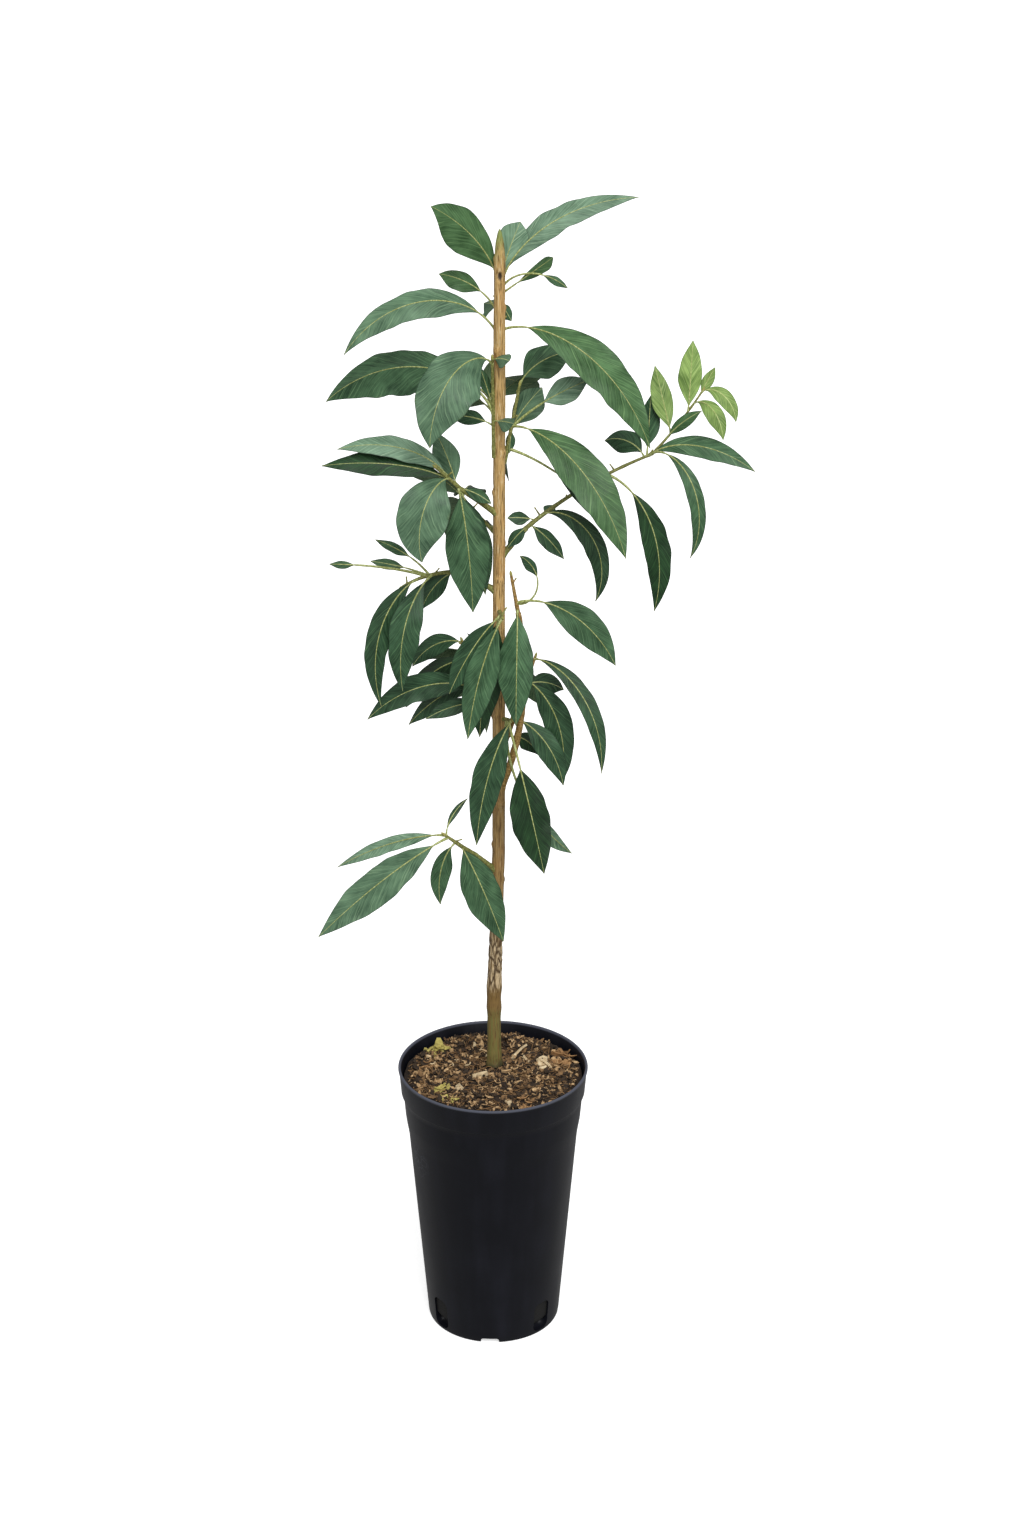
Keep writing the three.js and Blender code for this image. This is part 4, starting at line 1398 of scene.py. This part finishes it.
@dataclass
class TwigMaker:
    """Builds the stems of the masses, their short side twigs and the buds at their tips."""

    foot: float = 1.9
    tip: float = 1.2
    sunk: float = 1.5
    gap: float = 0.3
    every: float = 24.0
    side_length: Pair = (4.0, 8.0)
    side_rise: Pair = (25.0, 60.0)
    side_radii: Pair = (1.0, 0.5)
    side_shares: tuple[float, ...] = (0.0, 0.35, 0.7, 1.0)
    knuckle: Pair = (0.22, 3.6)
    back_in_trunk: float = 3.0
    back_in_bough: float = 1.5
    back_in_stem: float = 0.5
    tip_bud: Pair = (5.0, 1.3)
    side_bud: Pair = (2.6, 0.75)
    bud_sunk: float = 0.6
    bud_shares: tuple[float, ...] = (0.0, 0.2, 0.45, 0.7, 0.88, 1.0)
    bud_widths: tuple[float, ...] = (0.6, 0.95, 1.0, 0.72, 0.4, 0.08)

    def start(self, mass: Mass, trunk: TrunkShape, paths: dict[str, GrowthPath]) -> Vector:
        """Finds where a mass's stem starts, on the trunk's side or just past its bough's tip.

        Args:
            mass: The mass.
            trunk: The trunk's shape.
            paths: The boughs' paths by name.

        Returns:
            The stem's first point.
        """
        if mass.bough:
            point, direction = paths[mass.bough].at(1)
            return point + direction * self.gap
        reach = trunk.radius(mass.height) + self.foot - self.sunk
        return trunk.axis(mass.height) + heading(mass.side, 0) * reach

    def stem(self, path: GrowthPath, radii: Pair, forms: JoinedForms, back: float) -> None:
        """Adds a knuckled stem.

        Args:
            path: Its path.
            radii: Its radii at foot and tip.
            forms: What it is added to.
            back: How far its foot runs back into what carries it.
        """
        steps = max(6, round(path.length / 3))
        shares = [i / steps for i in range(steps + 1)]
        frames = limb_frames(path, shares)
        first = path.at(0)
        frames.insert(0, frames[0]._replace(point=first.point - first.direction * back))
        height, gap = self.knuckle
        knuckles = [height * max(0.0, math.sin(share * path.length / gap)) ** 6 for share in [0.0, *shares]]
        tube(forms, frames, [between(radii, s) + k for s, k in zip([0.0, *shares], knuckles)], 10)

    def side_twigs(
        self, path: GrowthPath, turn: float, draw: Draw, forms: JoinedForms, buds: JoinedForms
    ) -> None:
        """Adds the side twigs by the solids' rule, each with a bud on its tip.

        Args:
            path: The path of the stem that carries them.
            turn: The stem's compass turn.
            draw: The numbers shared with the solids' rule.
            forms: Takes the twigs.
            buds: Takes the buds.
        """
        count = max(1, math.floor(path.length / self.every + 0.5))
        for i in range(count):
            start = path.at((i + 0.4 + 0.5 * draw()) / count).point
            rise = between(self.side_rise, draw())
            length = between(self.side_length, draw())
            twig = GrowthPath(start, turn + GOLDEN_ANGLE * (i + 1), rise, length)
            radii = [between(self.side_radii, share) for share in self.side_shares]
            tube(forms, limb_frames(twig, self.side_shares), radii, 8)
            self.bud(twig.at(1), *self.side_bud, buds)

    def bud(self, at: Growth, length: float, radius: float, buds: JoinedForms) -> None:
        """Adds a pointed bud that carries a tip on.

        Args:
            at: The tip.
            length: The bud's length.
            radius: Its greatest radius.
            buds: What it is added to.
        """
        path = GrowthPath(at.point, 0, 0, 1)
        reaches = [length * (i / path.STEPS) - self.bud_sunk for i in range(path.STEPS + 1)]
        path.points = [at.point + at.direction * reach for reach in reaches]
        tube(buds, limb_frames(path, self.bud_shares), [radius * width for width in self.bud_widths], 8)


@dataclass
class Foliage:
    """All masses of foliage, joined by kind."""

    trunk: TrunkShape
    limbs: LimbMaker
    twigs: TwigMaker = field(default_factory=TwigMaker)
    leaves: LeafMaker = field(default_factory=LeafMaker)
    detail_seed: int = 1000

    def build(self) -> list[Piece]:
        """Grows every mass.

        Returns:
            The leaves by tone, the stalks, the twigs and the buds.
        """
        blades = {tone: JoinedForms() for tone in Tone}
        ribs, brown, green, buds = (JoinedForms() for _ in range(4))
        paths = {name: self.limbs.bough_path(row) for name, row in BOUGHS.items()}
        twigs = self.twigs
        for mass in MASSES:
            draw, detail = seeded(mass.seed), seeded(mass.seed + self.detail_seed)
            start, turn = twigs.start(mass, self.trunk, paths), mass.heading_turn
            stem = GrowthPath(start, turn, mass.rise, mass.length, mass.bend)
            forms = green if mass.green else brown
            back = twigs.back_in_bough if mass.bough else twigs.back_in_trunk
            twigs.stem(stem, (twigs.foot, twigs.tip), forms, back)
            twigs.side_twigs(stem, turn, draw, forms, buds)
            shoot = None
            if mass.shoot:
                row = mass.shoot
                shoot = GrowthPath(stem.at(1).point, row.turn, row.rise, row.length, row.bend)
                twigs.stem(shoot, (row.foot, row.tip), green, twigs.back_in_stem)
            twigs.bud((shoot or stem).at(1), *twigs.tip_bud, buds)
            for leaf in mass.leaves:
                path, place = (shoot, leaf.place - 1) if leaf.place > 1 else (stem, leaf.place)
                self.leaves.grow(path.at(place).point, leaf, mass.lit, draw, detail, blades[leaf.tone], ribs)
        under, pieces = UNDERSIDE.build(), []
        for tone, forms in blades.items():
            pieces.append(forms.build(f"leaves_{tone.value}", BLADES[tone].build(), under))
        rest = (
            ("leaf_stalks_and_midribs", ribs, RIB), ("brown_twigs", brown, BROWN_TWIG),
            ("green_twigs", green, GREEN_TWIG), ("buds", buds, BUD),
        )
        return pieces + [forms.build(name, finish.build()) for name, forms, finish in rest]


# ------------------------------------------------------------------ the pot


@dataclass
class NurseryPot:
    """A tall tapered nursery pot, drawn up ring by ring from its foot and down again inside."""

    height: float = 255.0
    rim_radius: float = 85.0
    foot_radius: float = 60.0
    wall: float = 1.8
    lip: float = 2.6
    band_height: float = 25.0
    band_step: float = 2.0
    band_room: float = 2.6
    shoulder_top: float = 207.0
    shoulder_bottom: float = 191.0
    shoulder_step: float = 2.4
    taper: float = 0.0838
    floor: float = 3.0
    recess: float = 5.0
    floor_edge: float = 3.0
    floor_corner: float = 6.0
    channel_inner: float = 45.0
    channel_outer: float = 50.0
    sides: int = 128
    swing: float = -3.0
    slot_turns: tuple[float, ...] = (FRONT - 48.5, FRONT + 48.5, BACK - 48.5, BACK + 48.5)
    slot: tuple[float, ...] = (18.0, 3.0, 33.0, 6.0)
    notch: tuple[float, ...] = (17.0, -2.0, 4.5, 3.0)
    cut_depth: float = 24.0
    smooth_angle: float = 35.0

    def wall_radius(self, z: float) -> float:
        """Returns the plain wall's outer radius at a height."""
        return self.foot_radius + self.taper * z

    def inside_radius(self, z: float) -> float:
        """Returns the plain wall's inner radius at a height."""
        return self.wall_radius(z) - self.wall

    @property
    def bottom(self) -> float:
        """The height of the floor's upper side."""
        return self.recess + self.floor

    def _rings(self) -> list[Pair]:
        """Lists the rings from under the floor up the outside, over the lip and down inside.

        Returns:
            Each ring's radius and height.
        """
        plain, inside, rim, top = self.wall_radius, self.inside_radius, self.rim_radius, self.height
        low, high, band, bottom = self.shoulder_bottom, self.shoulder_top, top - self.band_height, self.bottom
        band_radius = rim - 0.45 - self.band_height * self.taper
        under_band = band_radius - self.band_step
        shoulder = plain(high) + self.shoulder_step - 1
        return [
            (self.channel_inner, 0), (self.channel_inner, self.recess), (self.channel_outer, self.recess),
            (self.channel_outer, 0), (self.foot_radius - 1.4, 0), (self.foot_radius - 0.3, 0.6),
            *((plain(z), z) for z in (2, 8, 20, 34, 60, 100, 145, low - 3)),
            (plain(low) + 0.4, low + 2), (shoulder - 0.5, high - 3), (shoulder, high + 1),
            (under_band - 0.4, band - 6), (under_band, band - 1), (under_band + 0.5, band - 0.3),
            (band_radius - 0.4, band + 0.3), (band_radius, band + 1.2),
            (rim - 0.9, top - self.lip - 1.2), (rim - 0.6, top - self.lip), (rim - 0.1, top - self.lip * 0.75),
            (rim, top - self.lip * 0.5), (rim - 0.3, top - 0.4), (rim - 1.1, top), (rim - 1.9, top - 0.2),
            (rim - 2.4, top - 0.8), (inside(band) + self.band_room, band + 2),
            *((inside(z), z) for z in (low, 100, 34, bottom + self.floor_corner)),
            (inside(bottom) - self.floor_edge, bottom),
        ]

    def _draw_wall(self) -> Piece:
        """Draws the wall and floor, each ring extruded from the last and resized.

        Returns:
            The pot without its openings.
        """
        rings = self._rings()
        sizes = {"vertices": self.sides, "radius": rings[0][0] * MM, "fill_type": "NGON"}
        pot = primitive(bpy.ops.mesh.primitive_circle_add, "pot_shell", **sizes)
        open_mesh()
        for (last_radius, last_z), (radius, z) in zip(rings, rings[1:]):
            bpy.ops.mesh.extrude_region_move(TRANSFORM_OT_translate={"value": (0, 0, (z - last_z) * MM)})
            growth = radius / last_radius
            if growth != 1:
                bpy.ops.transform.resize(value=(growth, growth, 1), center_override=(0, 0, z * MM))
        close_mesh()
        return pot

    def _cutter(self, turn: float, width: float, bottom: float, top: float, corner: float) -> Piece:
        """Makes a block with rounded upper corners that stands through the wall.

        Args:
            turn: Where round the pot it stands.
            width: How wide it is along the wall.
            bottom: The height of its underside.
            top: The height of its top.
            corner: The radius of its upper corners.

        Returns:
            The block.
        """
        block = primitive(bpy.ops.mesh.primitive_cube_add, "cutter", size=1)
        open_mesh()
        sizes = (self.cut_depth * MM, width * MM, (top - bottom) * MM)
        bpy.ops.transform.resize(value=sizes, center_override=(0, 0, 0))
        bpy.ops.object.mode_set(mode="OBJECT")
        for edge in block.data.edges:
            ends = [block.data.vertices[i].co for i in edge.vertices]
            edge.select = all(end.z > 0 for end in ends) and abs(ends[0].x - ends[1].x) > 1e-6
        bpy.ops.object.mode_set(mode="EDIT")
        bpy.ops.mesh.select_mode(type="EDGE")
        bpy.ops.mesh.bevel(offset=corner * MM, segments=6)
        bpy.ops.mesh.select_all(action="SELECT")
        bpy.ops.transform.translate(value=((self.foot_radius + 3) * MM, 0, (top + bottom) / 2 * MM))
        bpy.ops.object.mode_set(mode="OBJECT")
        block.data.transform(Quaternion((0, 0, 1), math.radians(turn)).to_matrix().to_4x4())
        return block

    def build(self, material: Material) -> Piece:
        """Builds the pot, with its drain slots and the notches in its foot cut out.

        Args:
            material: Its plastic.

        Returns:
            The pot.
        """
        pot = self._draw_wall()
        cutters = [self._cutter(turn + self.swing, *self.slot) for turn in self.slot_turns]
        cutters += [self._cutter(FRONT + 90 * i + self.swing, *self.notch) for i in range(4)]
        for cutter in cutters:
            select_only(pot)
            bpy.ops.object.modifier_add(type="BOOLEAN")
            cut = pot.modifiers[-1]
            cut.operation, cut.object, cut.solver = "DIFFERENCE", cutter, "EXACT"
            bpy.ops.object.modifier_apply(modifier=cut.name)
            bpy.data.objects.remove(cutter)
        return dress(pot, self.smooth_angle, material)


# ------------------------------------------------------------------ the potting mix


CURL: Pair = (30.0, 200.0)  # how far a flake curls, in degrees, where its heap says nothing else


class Crumbs(NamedTuple):
    """One kind of loose stuff all over the mix: how many, how large, how flat, and its finish."""

    name: str
    count: int
    size: Pair
    flatness: float
    finish: CrumbFinish


class Heap(NamedTuple):
    """A small heap at a place on the mix, and how far its pieces curl."""

    x: float
    y: float
    reach: float
    count: int
    size: Pair
    flatness: float
    curl: Pair = CURL


COIR = CrumbFinish("coir_fibre", "#4a3420", "#8a683f", 6.0)
# The mix's side down inside the pot is painted near black, as shade inside the wall.
SHADED_SIDE = CrumbFinish("mix_side_painted_shade", "#030302", "#090705", 3.0)
BED = CrumbFinish("potting_mix_bed", "#120c07", "#332315", 3.0)
CRUMBS: tuple[Crumbs, ...] = (
    Crumbs("mix_dark_crumbs", 1300, (3.0, 9.0), 0.16, CrumbFinish("rotted_bark_dark", "#1b120b", "#40301f")),
    Crumbs("mix_brown_bark", 900, (3.0, 9.5), 0.11, CrumbFinish("bark_brown", "#523c27", "#8c6c47")),
    Crumbs("mix_tan_bark", 760, (3.0, 9.5), 0.09, CrumbFinish("bark_tan", "#8f6e48", "#d0b083")),
)
HEAPS: dict[str, tuple[CrumbFinish, tuple[Heap, ...]]] = {
    "mix_yellow_scraps": (CrumbFinish("yellow_green_scrap", "#877c3a", "#c0b267"), (
        Heap(-50, 38, 4, 3, (16, 20), 0.12, (60, 130)), Heap(-54, 38, 10, 12, (5, 9), 0.1),
        Heap(-46, -32, 7, 4, (10, 14), 0.1, (60, 130)), Heap(-38, -54, 8, 8, (5, 9), 0.1),
    )),
    "mix_cream_chips": (CrumbFinish("wood_chip_cream", "#a98e66", "#dccaa6"), (
        Heap(20, 34, 1, 1, (29, 30), 0.07, (15, 30)), Heap(30, 20, 3, 2, (10, 14), 0.1, (20, 60)),
        Heap(45, 10, 2, 2, (18, 22), 0.12, (20, 50)), Heap(-12, -16, 2, 2, (12, 15), 0.35, (20, 60)),
        Heap(-30, -38, 2, 2, (9, 12), 0.35, (20, 60)), Heap(15, -62, 2, 2, (9, 13), 0.25, (20, 60)),
        Heap(-30, 20, 30, 9, (4, 8), 0.14),
    )),
    "mix_dry_leaves": (CrumbFinish("dry_leaf_russet", "#7f5a37", "#b08a5c"), (
        Heap(62, 30, 5, 4, (16, 22), 0.04, (60, 140)), Heap(64, 22, 9, 9, (8, 13), 0.07),
        Heap(-62, 4, 8, 6, (8, 13), 0.08), Heap(30, -64, 12, 6, (8, 12), 0.08),
    )),
}


@dataclass
class PottingMix:
    """The mix: a mounded bed pressed into the pot, with loose bark, chips, scraps and fibres on it.

    A mound is a place, a size and a height.
    """

    pot: NurseryPot
    trunk: TrunkShape
    clear: float = 0.4
    level: float = 250.7
    front_edge: float = 250.0
    back_edge: float = 243.5
    lumps: Pair = (17.0, 3.0)
    reach: float = 80.0
    foot_reach: float = 14.0
    sunk: float = 1.2
    below_lip: float = 1.5
    sides: int = 96
    insets: int = 34
    smooth_angle: float = 60.0
    sections: int = 5
    flake_width: Pair = (0.25, 0.6)
    flake_lift: Pair = (-1.0, 3.4)
    flake_tilt: Pair = (-1.2, 1.2)
    flake_lean: Pair = (-0.6, 0.6)
    flake_jag: Pair = (0.55, 1.15)
    flake_taper: float = 0.6
    cupped: float = 0.6
    crumb_seed: int = 200
    heap_seed: int = 300
    fibre_seed: int = 401
    heap_lift: float = 2.6
    flake_reach: float = 76.5
    from_trunk: float = 7.0
    fibres: int = 420
    fibre_reach: Pair = (74.0, 78.0)
    fibre_shares: tuple[float, ...] = (0.0, 0.2, 0.4, 0.6, 0.8, 1.0)
    fibre_length: Pair = (7.0, 22.0)
    fibre_curl: Pair = (-120.0, 120.0)
    fibre_lift: Pair = (0.6, 2.6)
    fibre_radius: Pair = (0.18, 0.42)
    mounds: tuple[tuple[float, float, float, float], ...] = (
        (-21, 52, 15, 8.5), (20, 57, 14, 7.0), (-51, 38, 12, 4.0), (48, 8, 12, 2.5), (-60, -2, 10, 2.5),
        (-10, -14, 9, 2.0), (30, -40, 14, 1.5),
    )

    def top(self, x: float, y: float) -> float:
        """Shapes the bed's top, lumps included.

        Args:
            x: How far to the right.
            y: How far to the back.

        Returns:
            The height there.
        """
        share = min(1.0, math.hypot(x, y) / self.reach)
        front, back = self.front_edge, self.back_edge
        edge = (front + back) / 2 - (front - back) / 2 * math.sin(math.atan2(y, x))
        smooth = edge * share + self.level * (1 - share)
        width, height = self.lumps
        lump = noise.fractal(Vector((x / width, y / width, 3.1)), 1.0, 2.0, 4)
        foot = self.trunk.axis(self.trunk.foot)
        pad = math.hypot(x - foot.x, y - foot.y)
        heap = sum(
            rise * math.exp(-(((x - a) ** 2 + (y - b) ** 2) / size**2)) for a, b, size, rise in self.mounds
        )
        rough = (height * lump + heap) * min(1.0, pad / self.foot_reach)
        return min(smooth + rough - self.sunk, self.pot.height - self.below_lip)

    def build_bed(self, material: Material) -> Piece:
        """Builds the bed: a disc inset many times and pressed into lumps, with its side drawn down.

        Args:
            material: Its top's material.

        Returns:
            The bed.
        """
        pot = self.pot
        rim = pot.inside_radius(pot.height - pot.band_height) + pot.band_room - self.clear
        sizes = {"vertices": self.sides, "radius": rim * MM, "fill_type": "NGON"}
        bed = primitive(bpy.ops.mesh.primitive_circle_add, "potting_mix_bed", **sizes)
        open_mesh()
        for _ in range(self.insets):
            bpy.ops.mesh.inset(thickness=rim * MM / (self.insets + 1.2))
        bpy.ops.object.mode_set(mode="OBJECT")
        for vertex in bed.data.vertices:
            vertex.co.z = self.top(vertex.co.x / MM, vertex.co.y / MM) * MM
        self._draw_side(bed, rim)
        dress(bed, self.smooth_angle, material, SHADED_SIDE.build())
        # Faces below the shoulder take the near-black painted shade.
        for face in bed.data.polygons:
            face.material_index = int(face.center.z < pot.shoulder_top * MM)
        return bed

    def _draw_side(self, bed: Piece, rim: float) -> None:
        """Extrudes the bed's outer edge down inside the wall and closes its bottom.

        Args:
            bed: The bed.
            rim: Its radius.
        """
        pot, low, bottom = self.pot, self.pot.shoulder_bottom, self.pot.bottom
        levels = [(rim, pot.height - pot.band_height + 2)]
        levels += [(pot.inside_radius(z) - self.clear, z) for z in (low, bottom + pot.floor_corner)]
        levels += [(pot.inside_radius(bottom) - pot.floor_edge - self.clear, bottom + self.clear)]
        mesh = bed.data
        for vertex in mesh.vertices:
            vertex.select = math.hypot(vertex.co.x, vertex.co.y) > (rim - 0.05) * MM
        for edge in mesh.edges:
            edge.select = all(mesh.vertices[i].select for i in edge.vertices)
        for face in mesh.polygons:
            face.select = False
        bpy.ops.object.mode_set(mode="EDIT")
        bpy.ops.mesh.select_mode(type="EDGE")
        last = rim
        for radius, z in levels:
            bpy.ops.mesh.extrude_edges_move(TRANSFORM_OT_translate={"value": (0, 0, -1 * MM)})
            growth = radius / last
            bpy.ops.transform.resize(value=(growth, growth, 0), center_override=(0, 0, z * MM))
            last = radius
        bpy.ops.mesh.edge_face_add()
        close_mesh()

    def _flake(
        self, forms: JoinedForms, place: Vector, size: float, flatness: float, draw: Draw, curls: Pair
    ) -> None:
        """Adds one ragged flake, a short strip that curls up or down along its length.

        Args:
            forms: What it is added to.
            place: Its middle.
            size: Its length along the curl.
            flatness: Its thickness as a share of its length.
            draw: The stream of numbers.
            curls: The least and the most it curls, in degrees.
        """
        curl = math.radians(between(curls, draw()))
        side = size * between(self.flake_width, draw())
        thick = size * flatness / 2
        spin = Quaternion((0, 0, 1), math.tau * draw())
        spin = spin @ Quaternion((1, 0, 0), between(self.flake_tilt, draw()))
        spin = spin @ Quaternion((0, 1, 0), between(self.flake_lean, draw()))
        cup = 1.0 if draw() < self.cupped else -1.0
        radius = size / curl
        points = []
        for share in (2 * i / (self.sections - 1) - 1 for i in range(self.sections)):
            angle = curl * share / 2
            out = Vector((math.sin(angle), 0.0, cup * math.cos(angle)))
            middle = Vector((radius * math.sin(angle), 0.0, cup * radius * (math.cos(angle) - 1)))
            half = side / 2 * (1 - self.flake_taper * share**2)
            for a, c in ((-1, -1), (1, -1), (1, 1), (-1, 1)):
                jag = between(self.flake_jag, draw())
                corner = middle + Vector((0.0, a * half * jag, 0.0)) + out * (cup * c * thick)
                points.append((place + spin @ corner)[:])
        forms.add(points, tube_faces(len(points), 4))

    def _spot(self, reach: float, draw: Draw) -> Pair:
        """Returns an even random place within a reach of the middle."""
        radius, angle = reach * math.sqrt(draw()), math.tau * draw()
        return radius * math.cos(angle), radius * math.sin(angle)

    def build_crumbs(self) -> list[Piece]:
        """Scatters the loose bark, scraps and fibres.

        Returns:
            The pieces, one to a kind.
        """
        pieces = []
        foot = self.trunk.axis(self.trunk.foot)
        for number, kind in enumerate(CRUMBS):
            draw, forms = seeded(self.crumb_seed + number), JoinedForms()
            for _ in range(kind.count):
                x, y = self._spot(self.flake_reach, draw)
                size = between(kind.size, draw() ** 2)
                lift = between(self.flake_lift, draw())
                if math.hypot(x - foot.x, y - foot.y) < self.from_trunk + size / 3:
                    continue
                place = Vector((x, y, self.top(x, y) + lift))
                self._flake(forms, place, size, kind.flatness, draw, CURL)
            pieces.append(forms.build(kind.name, kind.finish.build(), smooth_angle=0))
        for number, (name, (finish, heaps)) in enumerate(HEAPS.items()):
            draw, forms = seeded(self.heap_seed + number), JoinedForms()
            for heap in (heap for heap in heaps for _ in range(heap.count)):
                x, y = self._spot(heap.reach, draw)
                x, y = x + heap.x, y + heap.y
                size = between(heap.size, draw())
                place = Vector((x, y, self.top(x, y) + self.heap_lift))
                self._flake(forms, place, size, heap.flatness, draw, heap.curl)
            pieces.append(forms.build(name, finish.build(), smooth_angle=0))
        return [*pieces, self._build_fibres()]

    def _build_fibres(self) -> Piece:
        """Scatters the coir fibres, thin curved strands that lie on the bed.

        Returns:
            The fibres.
        """
        draw, forms = seeded(self.fibre_seed), JoinedForms()
        start_reach, end_reach = self.fibre_reach
        for _ in range(self.fibres):
            x, y = self._spot(start_reach, draw)
            length = between(self.fibre_length, draw())
            turn = 360 * draw()
            path = GrowthPath(Vector((x, y, 0)), turn, 0, length, sweep=between(self.fibre_curl, draw()))
            frames = []
            lift = between(self.fibre_lift, draw())
            for share in self.fibre_shares:
                spot = path.at(share).point
                if math.hypot(spot.x, spot.y) > end_reach:
                    break
                spot.z = self.top(spot.x, spot.y) + lift * (0.4 + math.sin(math.pi * share))
                frames.append(Frame(spot, heading(turn + 90, 0), Vector((0, 0, 1))))
            if len(frames) > 2:
                tube(forms, frames, [between(self.fibre_radius, draw())] * len(frames), 4)
        return forms.build("mix_coir_fibres", COIR.build())


# ------------------------------------------------------------------ the studio


@dataclass
class Studio:
    """A plain pale floor, soft light from above the front and all round, and the camera."""

    camera_place: Triple = (0.017, -2.3, 1.52)
    camera_pitch: float = 23.0
    focal_length: float = 68.3
    sensor: float = 36.0
    far: float = 200.0
    floor_size: float = 60.0
    floor_drop: float = 0.0002
    floor_colour: str = "#f4f4f4"
    floor_glow: float = 0.55
    surround: float = 0.42
    backdrop_level: float = 1.0
    key_strength: float = 2.9
    key_spread: float = 50.0
    key_turn: Triple = (44.0, 0.0, 14.0)

    def build(self) -> None:
        """Sets the floor, the light and the camera."""
        self._floor()
        self._lights()
        camera = bpy.data.cameras.new("camera")
        camera.lens = self.focal_length
        camera.sensor_width = self.sensor
        camera.sensor_fit = "AUTO"
        camera.clip_end = self.far
        view = bpy.data.objects.new("camera", camera)
        view.location = self.camera_place
        view.rotation_euler = (math.radians(90 - self.camera_pitch), 0, 0)
        bpy.context.scene.collection.objects.link(view)
        bpy.context.scene.camera = view
        bpy.context.scene.view_settings.view_transform = "Standard"

    def _floor(self) -> None:
        """Lays the floor, which glows a little and stays out of the plant's own light."""
        sizes = {"size": self.floor_size, "location": (0, 0, -self.floor_drop)}
        floor = primitive(bpy.ops.mesh.primitive_plane_add, "floor", **sizes)
        colours = {"Base_Color": self.floor_colour, "Emission_Color": self.floor_colour}
        pale = bpy.data.materials.new("pale_floor")
        Recipe(pale, Roughness=0.9, Emission_Strength=self.floor_glow, **colours)
        floor.data.materials.append(pale)
        floor.visible_diffuse = False
        floor.visible_glossy = False
        floor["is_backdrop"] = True

    def _lights(self) -> None:
        """Hangs a broad soft key and a bright even surround, white behind the plant."""
        recipe = Recipe(bpy.data.worlds.new("studio_surround"), Color="#ffffff")
        seen = recipe.add("LightPath", out="Is Camera Ray")
        recipe.feed(Strength=recipe.add("MapRange", seen, To_Min=self.surround, To_Max=self.backdrop_level))
        bpy.context.scene.world = recipe.owner
        key = bpy.data.lights.new("key", "SUN")
        key.energy = self.key_strength
        key.angle = math.radians(self.key_spread)
        lamp = bpy.data.objects.new("key", key)
        lamp.rotation_euler = [math.radians(angle) for angle in self.key_turn]
        bpy.context.scene.collection.objects.link(lamp)


# ------------------------------------------------------------------ the whole plant


def main() -> None:
    """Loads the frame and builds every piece."""
    logging.basicConfig(level=logging.INFO, format="%(name)s: %(message)s")
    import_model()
    solid_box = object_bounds()
    trunk = TrunkShape()
    limbs = LimbMaker(trunk)
    pot = NurseryPot()
    mix = PottingMix(pot, trunk)

    seat(pot.build(PotFinish().build()), "pot", "pot")
    seat(mix.build_bed(BED.build()), "mix", "potting_mix")
    for piece in mix.build_crumbs():
        seat(piece, "mix", "potting_mix")
    seat(limbs.build_trunk(TRUNK_BARK.build()), "trunk_bark", "trunk")
    brown, green = BROWN_TWIG.build(), GREEN_TWIG.build()
    for name, row in BOUGHS.items():
        bark = brown if name == "bough_right_side" else green
        seat(limbs.build_bough(name, row, bark), "bough_bark", name)
    masses = [mass.name for mass in MASSES]
    for piece in Foliage(trunk, limbs).build():
        seat(piece, "bough_bark" if "twigs" in piece.name else "leaf", *masses)

    Studio().build()
    boxes = {"solids": solid_box, "visual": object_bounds()}
    {name: [list(corner) for corner in box] for name, box in boxes.items()}


if __name__ == "__main__":
    main()
